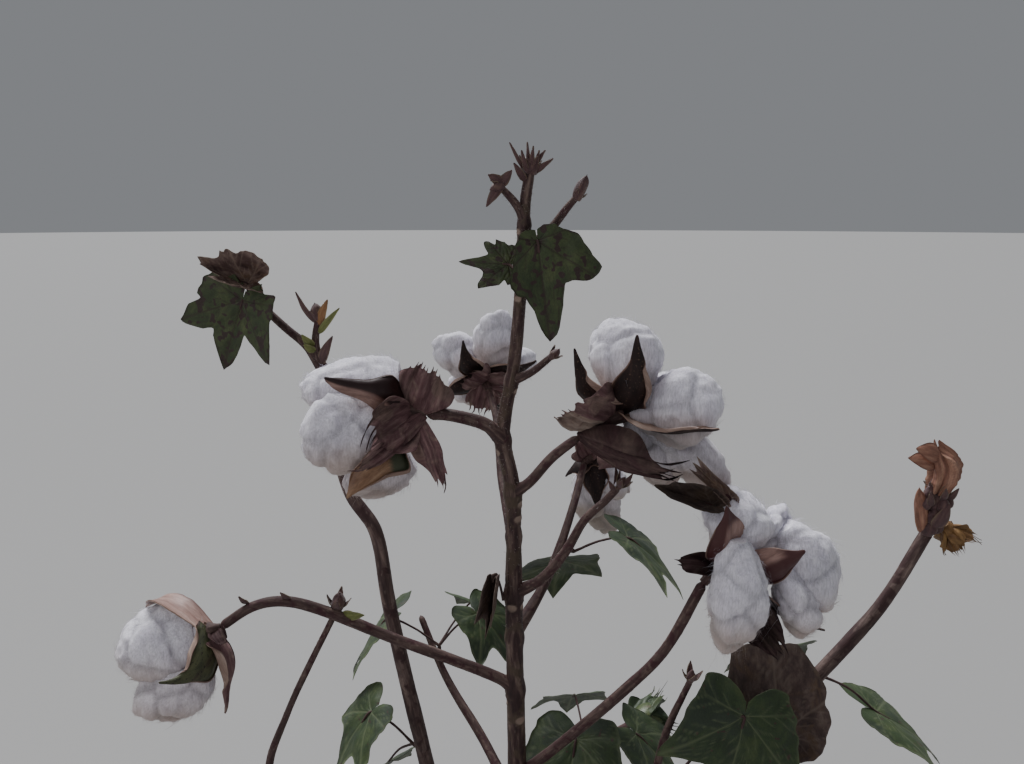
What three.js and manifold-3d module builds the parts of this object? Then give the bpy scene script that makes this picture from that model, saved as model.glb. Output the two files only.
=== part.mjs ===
// A cotton plant at picking time, rooted in level ground. A reddish main stem carries two side stems,
// fruiting branches and short spurs. Open bolls of white lint sit in dry pointed burs, among a few lobed
// leaves and buds. Millimetres, +Z up, +X to the right and +Y away from the side that is seen. The origin is
// the centre of the flat cut under the main stem.
import * as THREE from "three";
import Module from "manifold-3d";

const wasm = await Module();
wasm.setup();

// Driving sizes
const GAP = 0.35; // clear space left between two pieces that meet
const LINT_GAP = 0.7; // the same round the lint, which is looser
const STEM_SIDES = 10;
const LIMB_SIDES = 6;
const SEAT_SIDES = 4;
const BUD_SIDES = 4;
const RINGS_PER_PLACE = 1.3; // rings of a limb for each place it passes through
const COLLAR = 0.35; // how much wider a limb is where it leaves the one that carries it
const STALK_SIDES = 3;
const LOCK_SIDES = 6;
const LOCK_RINGS = 4;
const VALVE_WIDTH = 23; // one pointed valve of a dry bur, at its widest
const VALVE_THICKNESS = 1.0;
const LEAF_THICKNESS = 0.8;
const LOCK_LENGTH = 50; // the sizes of a boll that is laid out by rule
const LOCK_WIDTH = 34;
const LOCK_SPREAD = 52; // degrees from the way that the boll faces
const VALVE_LENGTH = 42;
const VALVE_SPREAD = 86;
const BRACT_LENGTH = 27;
const BRACT_WIDTH = 28;
const BRACT_SPREAD = 112;
const SEAT_SHARE = 0.35; // where a bract starts, on the way from the hub to the foot
const KNOB_RADIUS = 4.6; // the seat of a bur, under the cup of its valves
const CUP_DEPTH = 2.5;
const NOTCH_REACH = 9; // how far from the hub two neighbouring valves part
const STALK_RADIUS = 2.0;
const PETIOLE_RADIUS = 0.9;
const TWIG_RADIUS = 1.4;
const SHOOT_TWIG = 12; // from the middle of a limb to where the leaf stalks of a shoot part
const GOLDEN_ANGLE = 2.39996;
const SMOOTHING = 0.1; // how far a surface may move when the small faces left by the fitting are merged

const COLOURS = {
  stem: 0x3f2524,
  branch: 0x4b3230,
  bur: 0x55372e,
  lint: 0xe6e3e6,
  leaf_green: 0x34442a,
  leaf_dry: 0x5f4438,
  bud: 0x5d4440,
};

// The shape of a bract round a bur, and of a scale round a bud, in the terms of bladeSolid
const BRACT = {
  start: 2, reach: 0.88, foot: 0.2, end: 0.55, cup: 0.25, bow: 0.16, flare: 0, teeth: 1, rows: 2, columns: 2,
  thickness: 0.8,
};
const SCALE = {
  start: 0.8, reach: 1, foot: 0.4, end: 0.1, cup: 0, bow: 0.16, flare: 0.1, teeth: 0, columns: 1, thickness: 0.7,
};
const LONG_SCALE = 12; // a longer scale has one more row

// Where a valve is broad and where its claw starts, as shares of its length, and how wide it is there
const VALVE = { broadAt: 0.42, broad: 0.92, clawAt: 0.7, claw: 0.36 };

// How a lock of lint swells along its length: one from the hub, and a hanging one with blunt ends
const LOCK = { fullest: 1.35, ends: 0.6 };
const HANGING_LOCK = { fullest: 1.08, ends: 0.5 };

// The main stem: the places it passes through from the ground to its tip, each with its radius
const STEM = [
  [0, 0, 0, 13.5],
  [0, 0, 9, 10.2],
  [0, 0, 26, 8.4],
  [1, 1, 62, 7.6],
  [-1, 2, 118, 7.0],
  [2, 1, 178, 6.4],
  [3, 0, 251, 5.9],
  [2, 0, 305, 5.2],
  [1, 0, 367, 5.1],
  [1, 0, 402, 4.4],
  [0, -2, 432, 4.6],
  [-5, -4, 462, 4.3],
  [-3, -4, 480, 3.5],
  [0, -4, 495, 3.7],
  [3, -4, 522, 3.4],
  [5, -4, 548, 3.4],
  [6, -4, 569, 3.5],
  [7, -4, 588, 2.9],
  [9, -4, 603, 2.8],
];

// Limbs: the places each passes through, starting inside the limb that carries it, and its radius at both
// ends. A short spur ends in a bud of its own.
const LIMBS = {
  side_stem_left: {
    path: [
      [0, 0, 62], [-26, 10, 96], [-52, 23, 214], [-78, 36, 336], [-87, 44, 386], [-103, 50, 410],
      [-119, 56, 492],
    ],
    radii: [5.4, 3.9],
  },
  side_stem_right: {
    path: [
      [0, 0, 44], [40, -7, 74], [110, -12, 176], [150, -10, 259], [164, -10, 296], [216, -2, 360],
      [242, 4, 405],
    ],
    radii: [5.6, 3.4],
  },
  fork_left_top: {
    path: [[-118, 56, 489], [-128, 58, 503], [-141, 60, 514], [-154, 62, 527], [-159, 62, 538]],
    radii: [3.0, 1.9],
  },
  shoot_left_top: {
    path: [[-118, 56, 488], [-121, 55, 505], [-118, 54, 522]],
    radii: [2.6, 1.9],
  },
  spur_right_top: {
    path: [[7, -4, 565], [16, -5, 571], [22, -6, 577], [28, -8, 585], [34, -8, 592]],
    radii: [2.6, 1.7],
    bud: { foot: [34, -8, 591], facing: [0.5, 0, 0.85], body: [8, 4.5], scales: 3, reach: 10 },
  },
  spur_left_top: {
    path: [[7, -4, 578], [3, -6, 586], [-2, -8, 592], [-7, -10, 597]],
    radii: [2.5, 1.5],
    bud: { foot: [-6, -10, 596], facing: [-0.9, -0.3, -0.5], body: [8, 5.5], scales: 3, reach: 14 },
  },
  spur_right_upper: {
    path: [[0, -4, 494], [10, -8, 499], [18, -11, 506], [22, -13, 510]],
    radii: [2.4, 1.6],
    bud: { foot: [21.5, -13, 509], facing: [0.5, -0.2, 0.6], body: [6, 4.5], scales: 3, reach: 7 },
  },
  branch_left_upper: {
    path: [[-5, -4, 461], [-14, -8, 470], [-24, -10, 474], [-37, -12, 477], [-46, -13, 477]],
    radii: [4.0, 3.0],
  },
  branch_right_upper: {
    path: [[1, -2, 429], [9, -7, 436], [22, -10, 452], [36, -14, 465]],
    radii: [3.4, 2.5],
  },
  branch_right_middle: {
    path: [[1, 0, 366], [16, -4, 376], [30, -6, 394], [41, -8, 415], [52, -10, 427], [59, -12, 436]],
    radii: [3.4, 1.9],
  },
  branch_left_middle: {
    path: [[2, 0, 304], [-8, -1, 311], [-65, -10, 341], [-123, -22, 372], [-141, -26, 372], [-160, -30, 361]],
    radii: [3.6, 2.6],
  },
  branch_right_lower: {
    path: [[3, 0, 244], [14, -3, 254], [64, -22, 317], [84, -30, 347], [102, -36, 391]],
    radii: [3.2, 2.8],
  },
  branch_back_top: {
    path: [[1, 0, 402], [-6, 34, 424], [-10, 70, 452], [-16, 97, 466]],
    radii: [3.2, 2.2],
  },
  branch_back_right: {
    path: [[1, 0, 338], [22, 30, 360], [40, 66, 392], [50, 96, 414]],
    radii: [3.3, 2.3],
  },
  branch_back_left: {
    path: [[2, 0, 222], [-18, 34, 240], [-46, 66, 268], [-66, 92, 300]],
    radii: [3.5, 2.2],
  },
  branch_back_low: {
    path: [[1, 1, 196], [28, 36, 206], [64, 72, 212], [96, 104, 206]],
    radii: [3.6, 2.4],
  },
  branch_front_right: {
    path: [[0, 2, 158], [26, -30, 176], [54, -66, 192], [74, -96, 190]],
    radii: [3.7, 2.4],
  },
  branch_front_left: {
    path: [[-1, 2, 126], [-28, -30, 146], [-58, -66, 166], [-80, -94, 168]],
    radii: [3.8, 2.4],
  },
  shoot_right_low: {
    path: [[96, -11, 152], [84, -22, 196], [80, -34, 256], [86, -36, 300], [98, -36, 333]],
    radii: [3.0, 1.7],
  },
  shoot_left_foot: {
    path: [[0, 0, 38], [-50, -8, 78], [-103, -11, 136], [-142, -11, 232]],
    radii: [3.9, 2.9],
  },
  shoot_left_low: {
    path: [[-141, -11, 229], [-146, -11, 256], [-132, -12, 296], [-99, -14, 364]],
    radii: [2.7, 1.7],
  },
};

// Open bolls. The stalk runs from foot to hub. Each lock of lint has its far end, its width and, where it hangs
// free of the hub, how far off the hub it starts. A valve of the bur has its tip. A bract has its far end, its
// width, the way its back looks and, where it isn't the usual one, the share of the stalk at which it starts.
const BOLLS = {
  boll_right_upper: {
    foot: [36, -14, 465],
    hub: [60, -15, 478],
    locks: [
      [[53, -1, 527], 46], [[109, -28, 490], 42], [[118, -14, 434], 31], [[88, 4, 430], 30], [[100, 30, 474], 36],
    ],
    valves: [[32, -19, 515], [63, -37, 526], [103, -42, 481], [84, 30, 504]],
    bracts: [
      [[22, -34, 493], 27, [-0.1, -0.95, -0.3]], [[97, -46, 464], 26, [0, -0.85, -0.5], 0.85],
      [[74, 16, 440], 30, [0, 0.7, -0.7]],
    ],
  },
  boll_right_lower: {
    foot: [102, -36, 391],
    hub: [112, -38, 403],
    locks: [
      [[113, -30, 442], 43], [[147, -24, 430], 24], [[167, -34, 374], 36, [26, 2, 23]],
      [[152, -46, 366], 27, [26, -8, 3]], [[108, -57, 364], 35, [-1, -16, 25]],
    ],
    valves: [[104, -60, 446], [144, -64, 424], [166, -44, 372], [128, 2, 428]],
    bracts: [[[80, -46, 406], 12, [0, -0.8, 0.6]], [[136, -50, 361], 18, [0, -1, 0]]],
  },
  boll_left_upper: {
    foot: [-46, -13, 477],
    hub: [-57, -13, 479],
    locks: [
      [[-114, -8, 490], 37, [0, 6, 20]], [[-108, -32, 463], 44], [[-92, -14, 434], 26, [6, 0, -28]],
      [[-101, 16, 462], 38],
    ],
    valves: [[-95, -38, 503], [-83, -40, 440], [-98, 18, 438], [-106, 24, 484]],
    bracts: [
      [[-28, -18, 502], 21, [-0.1, -0.97, 0.2]], [[-77, -42, 472], 29, [0.2, -0.97, 0.1]],
      [[-40, -18, 434], 14, [0.6, -0.8, 0]],
    ],
  },
  boll_far_left: {
    foot: [-160, -30, 361],
    hub: [-165, -31, 360],
    locks: [
      [[-220, -26, 338], 43, [-6, 4, 1]], [[-206, -42, 324], 31, [4, -8, -24]], [[-218, -2, 342], 34],
      [[-200, -8, 318], 32],
    ],
    valves: [[-208, -10, 384], [-190, -68, 338], [-158, -50, 320], [-206, 6, 320]],
    bracts: [[[-150, -42, 350], 10, [0.5, -0.8, 0]], [[-172, -12, 330], 20, [0.6, 0.7, 0]]],
  },
  boll_back_right: {
    foot: [50, 96, 414],
    hub: [56, 104, 414],
    locks: [[[52, 116, 364], 30], [[70, 118, 352], 28], [[84, 112, 386], 30], [[62, 136, 384], 30]],
    valves: [[40, 112, 398], [84, 100, 420], [78, 136, 408], [62, 94, 380]],
    bracts: [[[50, 90, 434], 24], [[66, 118, 436], 26]],
  },
};

// Bolls laid out by rule: the way the boll faces, a turn about that way in degrees, its size, and how many
// locks and valves it has
const ROUND_BOLLS = {
  boll_back_top: {
    foot: [-16, 97, 466], hub: [-19, 109, 470],
    facing: [-0.1, 0.86, 0.5], turn: 20, size: 0.92, count: 4,
  },
  boll_front_right: {
    foot: [74, -96, 190], hub: [81, -105, 186],
    facing: [0.5, -0.7, -0.35], turn: 0, size: 1.0, count: 5,
  },
  boll_front_left: {
    foot: [-80, -94, 168], hub: [-88, -102, 165],
    facing: [-0.6, -0.62, -0.25], turn: 35, size: 0.96, count: 4,
  },
};

// Leaves: each mass is a short twig from its foot inside a limb to its fork, where its leaf stalks start. A
// leaf has the place where the stalk meets the blade, the blade's tip, the way the upper face looks, how far
// the side lobes reach for their length, and how much the blade is folded and droops. A leaf with an outline of
// its own has degrees from the midrib, all the way round, and the reach there.
const LEAVES = {
  leaf_top: {
    foot: [6, -4, 564], fork: [10, -9, 567],
    leaves: [
      {
        at: [13, -15, 569], tip: [20, -20, 517], face: [0.05, -1, 0.05], wide: 1, fold: 0.08, droop: 0.05,
        outline: [
          [-108, 0.27], [-84, 0.44], [-62, 0.7], [-30, 0.5], [-13, 0.7], [0, 1], [9, 0.68], [37, 0.54],
          [51, 0.33], [95, 0.2],
        ],
      },
    ],
  },
  leaf_top_left: {
    foot: [5, -4, 551], fork: [1, 0, 554],
    leaves: [
      { at: [-2, 4, 556], tip: [-28, 6, 558], face: [0.1, -1, 0.3], wide: 0.8, fold: 0.15, droop: 0.1 },
    ],
  },
  leaf_curled_middle: {
    foot: [1, 0, 363], fork: [-5, -1, 362],
    leaves: [
      { at: [-8, -2, 375], tip: [-12, -1, 344], face: [-0.3, -1, 0], wide: 0.24, fold: 0.6, droop: -0.1 },
    ],
  },
  leaf_dry_right: {
    foot: [106, -34, 398], fork: [112, -34, 414],
    leaves: [
      { at: [112, -40, 442], tip: [87, -41, 464], face: [0.1, -1, 0], wide: 0.24, fold: 0.3, droop: 0.1 },
      { at: [104, -40, 437], tip: [67, -42, 450], face: [0, -0.8, 0.5], wide: 0.3, fold: 0.5, droop: 0.2 },
    ],
  },
  leaf_dry_low: {
    foot: [164, -10, 296], fork: [159, -16, 291],
    leaves: [
      { at: [155, -21, 287], tip: [146, -28, 350], face: [0, -1, 0.1], wide: 0.9, fold: 0.15, droop: 0.2 },
    ],
  },
  leaves_shoot_right: {
    foot: [82, -35, 268], fork: [90, -42, 275],
    leaves: [
      { at: [126, -44, 316], tip: [112, -66, 266], face: [0.1, -0.9, 0.5], wide: 1, fold: 0.12, droop: 0.25 },
      { at: [62, -50, 262], tip: [32, -62, 232], face: [-0.2, -0.6, 0.8], wide: 1, fold: 0.12, droop: 0.2 },
    ],
  },
  leaves_left_top: {
    foot: [-157, 62, 532], fork: [-161, 57, 535],
    leaves: [
      { at: [-164, 55, 531], tip: [-183, 53, 486], face: [-0.3, -1, 0.1], wide: 1, fold: 0.3, droop: 0.15 },
      { at: [-162, 59, 541], tip: [-194, 52, 553], face: [0, -0.85, 0.5], wide: 0.62, fold: 0.6, droop: -0.2 },
    ],
  },
};

// Leafy shoots that are laid out by rule: a foot inside a limb, the way the shoot leaves it, the length of
// its leaf stalks and blades, how many leaves it has, and the seed of its small differences
const LEAFY_SHOOTS = {
  leaves_back_left: {
    foot: [-50, 72, 275], facing: [-0.1, 0.2, 1],
    stalk: 46, blade: 50, count: 3, seed: 3,
  },
  leaves_back_right: {
    foot: [32, 49, 376], facing: [0.5, 0.2, -0.5],
    stalk: 44, blade: 50, count: 2, seed: 8,
  },
  leaves_back_low: {
    foot: [50, 57, 209], facing: [0.1, 0.2, 1],
    stalk: 46, blade: 50, count: 3, seed: 5,
  },
  leaves_front_right: {
    foot: [31, -37, 179], facing: [-0.1, -0.3, 1],
    stalk: 44, blade: 50, count: 3, seed: 24,
  },
  leaves_front_left: {
    foot: [-43, -48, 156], facing: [-0.2, -0.1, 1],
    stalk: 46, blade: 50, count: 3, seed: 9,
  },
  leaves_side_right: {
    foot: [178, -9, 313], facing: [0.6, 0.8, -0.1],
    stalk: 40, blade: 48, count: 2, seed: 2,
  },
  leaves_side_left: {
    foot: [-56, 24, 238], facing: [-0.7, 0.5, 0.3],
    stalk: 44, blade: 46, count: 2, seed: 9,
  },
};

// Bud clusters: the place of the foot, the way they point, the length and width of their body, and the
// number and reach of the pointed scales round it
const BUDS = {
  buds_stem_tip: { foot: [9, -4, 604], facing: [0.1, 0, 1], body: [9, 8], scales: 6, reach: 14 },
  buds_branch_middle: {
    foot: [59.5, -12, 436.5], facing: [0.4, -0.1, 0.8], body: [6, 4.5], scales: 3, reach: 9,
  },
  buds_left_top: { foot: [-118, 54, 522.5], facing: [0.1, 0, 1], body: [9, 7], scales: 5, reach: 17 },
  buds_left_low: { foot: [-99, -14, 364.5], facing: [0.2, -0.1, 1], body: [10, 8], scales: 4, reach: 12 },
  buds_right_low: { foot: [98, -36, 333.5], facing: [0.1, -0.1, 1], body: [6, 5], scales: 4, reach: 10 },
  green_boll_back: { foot: [96, 104, 205.5], facing: [0.6, 0.5, -0.4], body: [33, 27], scales: 3, reach: 36 },
};

// The end of the right side stem: a withered flower on its stalk, a spent bud beside it and a dried flower that
// hangs off
const WITHERED = [
  { foot: [242, 3, 426], facing: [-0.12, 0, 1], body: [30, 15], scales: 4, reach: 14 },
  { foot: [238.5, 3, 407], facing: [-0.3, -0.05, 0.9], body: [26, 8], scales: 0, reach: 0 },
  { foot: [250, 2, 406], facing: [0.66, -0.15, -0.72], body: [17, 13], scales: 5, reach: 20 },
];
const WITHERED_LINKS = [[[242, 4, 405.8], [242, 3, 428]], [[242, 3, 412], [251, 2, 405]]];

// Half of a lobed leaf's outline: degrees from the midrib, and the reach there for a midrib of length 1
const LEAF_OUTLINE = [[0, 1], [27, 0.6], [51, 0.9], [82, 0.56], [122, 0.5]];
const LOBED = [...LEAF_OUTLINE.slice(1).reverse().map(([turn, reach]) => [-turn, reach]), ...LEAF_OUTLINE];

const LEAF_CENTRE = 0.3; // how far along the midrib the blade's ribs spread from

const vec = (p) => new THREE.Vector3(p[0], p[1], p[2]);
const mix = (a, b, t) => a + (b - a) * t;
const radians = THREE.MathUtils.degToRad;

function solidFrom(points, faces) {
  const vertProperties = new Float32Array(points.flatMap((p) => [p.x, p.y, p.z]));
  const triVerts = new Uint32Array(faces.flat());
  return new wasm.Manifold(new wasm.Mesh({ numProp: 3, vertProperties, triVerts }));
}

const joined = (solids) => solids.reduce((whole, next) => whole.add(next));

// A closed solid through rings of points, each ring turning the same way about the line they follow
function ringSolid(rings) {
  const sides = rings[0].length;
  const points = rings.flat();
  const faces = [];
  for (let r = 0; r + 1 < rings.length; r++) {
    for (let s = 0; s < sides; s++) {
      const a = r * sides + s;
      const b = r * sides + ((s + 1) % sides);
      faces.push([a, b, b + sides], [a, b + sides, a + sides]);
    }
  }
  const capped = (ring, first, turned) => {
    const centre = ring.reduce((sum, p) => sum.add(p), new THREE.Vector3()).divideScalar(sides);
    points.push(centre);
    for (let s = 0; s < sides; s++) {
      const pair = [first + s, first + ((s + 1) % sides)];
      faces.push([...(turned ? pair.reverse() : pair), points.length - 1]);
    }
  };
  capped(rings[0], 0, true);
  capped(rings.at(-1), (rings.length - 1) * sides, false);
  return solidFrom(points, faces);
}

// A closed solid on both sides of a sheet. rim lists the sheet's edge in order, and each face and the rim
// turn the same way when seen from the outer side, to which the normals point.
function plateSolid(points, faces, rim, thickness) {
  const normals = points.map(() => new THREE.Vector3());
  for (const [a, b, c] of faces) {
    const normal = points[b].clone().sub(points[a]).cross(points[c].clone().sub(points[a]));
    [a, b, c].forEach((k) => normals[k].add(normal));
  }
  normals.forEach((normal) => normal.normalize());
  const shifted = (reach) => points.map((p, k) => p.clone().addScaledVector(normals[k], reach));
  const under = points.length;
  const both = faces.flatMap(([a, b, c]) => [[a, b, c], [under + a, under + c, under + b]]);
  const wall = rim.flatMap((a, k) => {
    const b = rim[(k + 1) % rim.length];
    return [[b, a, under + a], [b, under + a, under + b]];
  });
  return solidFrom([...shifted(thickness / 2), ...shifted(-thickness / 2)], [...both, ...wall]);
}

// A closed sheet of one thickness through a grid of points, its edges moved out by grow
function sheetSolid(grid, thickness, grow) {
  const rows = grid.length;
  const columns = grid[0].length;
  const pushed = (p, inner) => p.addScaledVector(p.clone().sub(inner).normalize(), grow);
  grid.forEach((row) => {
    pushed(row[0], row[1]);
    pushed(row[columns - 1], row[columns - 2]);
  });
  grid[0].forEach((p, j) => pushed(p, grid[1][j]));
  grid[rows - 1].forEach((p, j) => pushed(p, grid[rows - 2][j]));
  const at = (i, j) => i * columns + j;
  const faces = [];
  for (let i = 0; i + 1 < rows; i++) {
    for (let j = 0; j + 1 < columns; j++) {
      const [a, b, c, d] = [at(i, j), at(i + 1, j), at(i + 1, j + 1), at(i, j + 1)];
      faces.push([a, b, c], [a, c, d]);
    }
  }
  const rim = [];
  for (let i = 0; i < rows - 1; i++) rim.push(at(i, 0));
  for (let j = 0; j < columns - 1; j++) rim.push(at(rows - 1, j));
  for (let i = rows - 1; i > 0; i--) rim.push(at(i, columns - 1));
  for (let j = columns - 1; j > 0; j--) rim.push(at(0, j));
  return plateSolid(grid.flat(), faces, rim, thickness + 2 * grow);
}

// A round limb along a smooth curve. radiusAt gives the radius at a share of its length, and grow widens it
// all over.
function limbSolid(path, radiusAt, sides, rings, grow, flatFoot = false) {
  const curve = new THREE.CatmullRomCurve3(path.map(vec), false, "centripetal");
  let side = new THREE.Vector3(1, 0.2, 0.1);
  const loops = [];
  for (let r = 0; r < rings; r++) {
    const share = r / (rings - 1);
    const centre = curve.getPoint(share);
    const ahead = flatFoot && r === 0 ? new THREE.Vector3(0, 0, 1) : curve.getTangent(share);
    if (r === 0 && !flatFoot) centre.addScaledVector(ahead, -grow);
    if (r === rings - 1) centre.addScaledVector(ahead, grow);
    side = side.clone().addScaledVector(ahead, -side.dot(ahead)).normalize();
    const other = ahead.clone().cross(side);
    const reach = radiusAt(share) + grow;
    const loop = [];
    for (let s = 0; s < sides; s++) {
      const angle = (2 * Math.PI * s) / sides;
      const place = centre.clone().addScaledVector(side, reach * Math.cos(angle));
      loop.push(place.addScaledVector(other, reach * Math.sin(angle)));
    }
    loops.push(loop);
  }
  return ringSolid(loops);
}

// The main stem keeps a ring at each of its places, so that its foot stays a flat cut on the ground
function stemSolid(grow) {
  const last = STEM.length - 1;
  const radiusAt = (share) => {
    const place = Math.min(Math.floor(share * last), last - 1);
    return mix(STEM[place][3], STEM[place + 1][3], share * last - place);
  };
  return limbSolid(STEM, radiusAt, STEM_SIDES, last + 1, grow, true);
}

// A limb tapers evenly, with a collar where it leaves the limb that carries it
function boughSolid({ path, radii }, grow) {
  const collar = (share) => 1 + COLLAR * Math.max(0, 1 - share * path.length);
  const radiusAt = (share) => mix(radii[0], radii[1], share) * collar(share);
  return limbSolid(path, radiusAt, LIMB_SIDES, Math.round(path.length * RINGS_PER_PLACE), grow);
}

// Directions of a boll piece that runs from the hub to a tip: along it, out of its back, and across it
function frameOf(hub, tip, middle) {
  const along = tip.clone().sub(hub);
  const out = middle.clone().negate();
  out.addScaledVector(along, -out.dot(along) / along.lengthSq()).normalize();
  const across = out.clone().cross(along).normalize();
  return { along, out, across };
}

// A lock of lint: a swollen lobe, narrow at the hub and full towards its far end, with a few lumps where its
// seeds lie. Its back is flatter than the side that faces the middle of the boll.
function lockSolid(hub, [end, width, offset], middle, index, grow) {
  const form = offset ? HANGING_LOCK : LOCK;
  const start = hub.clone().add(vec(offset ?? [0, 0, 0]));
  const { along, out, across } = frameOf(start, vec(end), middle);
  const loops = [];
  for (let r = 0; r <= LOCK_RINGS; r++) {
    const share = mix(0.13, 0.985, r / LOCK_RINGS);
    const swell = (width / 2) * Math.sin(Math.PI * share ** form.fullest) ** form.ends;
    const centre = start.clone().addScaledVector(along, share);
    centre.addScaledVector(out, -0.06 * width * Math.sin(Math.PI * share));
    centre.addScaledVector(along, (r === LOCK_RINGS ? grow : 0) / along.length());
    const loop = [];
    for (let s = 0; s < LOCK_SIDES; s++) {
      const angle = (2 * Math.PI * (s + 0.5)) / LOCK_SIDES;
      const lump = 1 + 0.07 * Math.sin(3 * angle + 5 * share + 2 * index);
      const reach = swell * lump + grow;
      const depth = reach * Math.sin(angle) * (Math.sin(angle) > 0 ? 0.62 : 0.95);
      loop.push(centre.clone().addScaledVector(across, reach * Math.cos(angle)).addScaledVector(out, depth));
    }
    loops.push(loop);
  }
  return ringSolid(loops);
}

// A blade from near the hub to a tip, cupped about the boll and bowed outwards. start is its distance from
// the hub, reach the share of the way to the tip that it covers, foot and end are shares of its width at both
// ends, and teeth lengthen every other column.
function bladeSolid(hub, tip, middle, shape, grow) {
  const { start, reach: whole, width, foot, end, cup, bow, flare, teeth, rows, columns, thickness } = shape;
  const { along, out, across } = frameOf(hub, tip, middle);
  const length = along.length();
  const grid = [];
  for (let i = 0; i <= rows; i++) {
    const share = i / rows;
    const least = mix(foot, end, share);
    const half = (width / 2) * mix(least, 1, Math.sin(Math.PI * share ** 0.85) ** 0.9);
    const line = hub.clone().addScaledVector(along, mix(start / length, whole, share));
    line.addScaledVector(out, length * (bow * Math.sin(Math.PI * share) + flare * share ** 4));
    const row = [];
    for (let j = 0; j <= columns; j++) {
      const reach = (2 * j) / columns - 1;
      const point = line.clone().addScaledVector(across, half * reach);
      point.addScaledVector(out, -cup * half * reach * reach);
      const tooth = j % 2 ? 0.1 : -0.12;
      row.push(point.addScaledVector(along, teeth * share ** 2 * (tooth - 0.25 * reach * reach)));
    }
    grid.push(row);
  }
  return sheetSolid(grid, thickness, grow);
}

// The valves of a dry bur as one star: they are joined in a cup round the hub, widen, and taper to their tips
function starSolid(hub, tips, middle, grow) {
  const side = new THREE.Vector3(0.3, 0.5, 1).cross(middle).normalize();
  const up = middle.clone().cross(side);
  const turnOf = (tip) => Math.atan2(tip.clone().sub(hub).dot(up), tip.clone().sub(hub).dot(side));
  const ordered = [...tips].sort((a, b) => turnOf(a) - turnOf(b));
  const count = ordered.length;
  const points = [hub.clone().addScaledVector(middle, -CUP_DEPTH)];
  const faces = [];
  const rim = [];
  const each = 9; // places in one valve: its notch, one at the cup, three across at two widths, and its tip
  ordered.forEach((tip, i) => {
    const { along, out, across } = frameOf(hub, tip, middle);
    const length = along.length();
    const before = ordered[(i + count - 1) % count].clone().sub(hub).normalize();
    const notch = along.clone().divideScalar(length).add(before).normalize();
    const onLine = (share, sideways) =>
      hub.clone().addScaledVector(along, share).addScaledVector(across, -sideways)
        .addScaledVector(out, length * 0.17 * Math.sin(Math.PI * share) - 0.012 * sideways * sideways);
    const broad = (VALVE_WIDTH / 2) * VALVE.broad + grow;
    const claw = (VALVE_WIDTH / 2) * VALVE.claw + grow;
    points.push(
      hub.clone().addScaledVector(notch, NOTCH_REACH + grow),
      onLine(0.24, 0),
      onLine(VALVE.broadAt, -broad), onLine(VALVE.broadAt, 0), onLine(VALVE.broadAt, broad),
      onLine(VALVE.clawAt, -claw), onLine(VALVE.clawAt, 0), onLine(VALVE.clawAt, claw),
      onLine(1 + grow / length, 0),
    );
    const first = 1 + i * each;
    const [n, c, l2, c2, r2, l3, c3, r3, t] = [...Array(each).keys()].map((k) => first + k);
    const next = 1 + ((i + 1) % count) * each;
    faces.push([0, n, c], [0, c, next], [n, l2, c2], [n, c2, c], [c, c2, r2], [c, r2, next]);
    faces.push([l2, l3, c3], [l2, c3, c2], [c2, c3, r3], [c2, r3, r2], [l3, t, c3], [c3, t, r3]);
    rim.push(n, l2, l3, t, r3, r2);
  });
  return plateSolid(points, faces.map(([a, b, c]) => [a, c, b]), rim.reverse(), VALVE_THICKNESS + 2 * grow);
}

// A thin stalk that rises a little on its way, through any further places after its end
function stalkSolid(from, to, radius, grow, ...further) {
  const middle = from.clone().lerp(to, 0.5).add(new THREE.Vector3(0, 0, 0.08 * from.distanceTo(to)));
  const path = [from, middle, to, ...further].map((p) => p.toArray());
  return limbSolid(path, () => radius, STALK_SIDES, path.length, grow);
}

const middleOf = ({ hub, locks }) =>
  locks.reduce((sum, [end]) => sum.add(vec(end).sub(vec(hub)).normalize()), new THREE.Vector3()).normalize();

function lintSolid(boll, grow) {
  const middle = middleOf(boll);
  return joined(boll.locks.map((lock, i) => lockSolid(vec(boll.hub), lock, middle, i, grow)));
}

function burSolid(boll, grow) {
  const middle = middleOf(boll);
  const hub = vec(boll.hub);
  const foot = vec(boll.foot);
  const under = hub.clone().lerp(foot, SEAT_SHARE).addScaledVector(middle, -1);
  const seatRadius = (share) => mix(STALK_RADIUS, KNOB_RADIUS, share ** 1.3);
  const seat = limbSolid([foot, under, hub].map((p) => p.toArray()), seatRadius, SEAT_SIDES, 3, grow);
  const bractSolid = ([end, width, back, share = SEAT_SHARE]) => {
    const base = hub.clone().lerp(foot, share).addScaledVector(middle, -1);
    const inward = back ? vec(back).negate() : middle;
    return bladeSolid(base, vec(end), inward, { ...BRACT, width }, grow);
  };
  return joined([seat, starSolid(hub, boll.valves.map(vec), middle, grow), ...boll.bracts.map(bractSolid)]);
}

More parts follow.
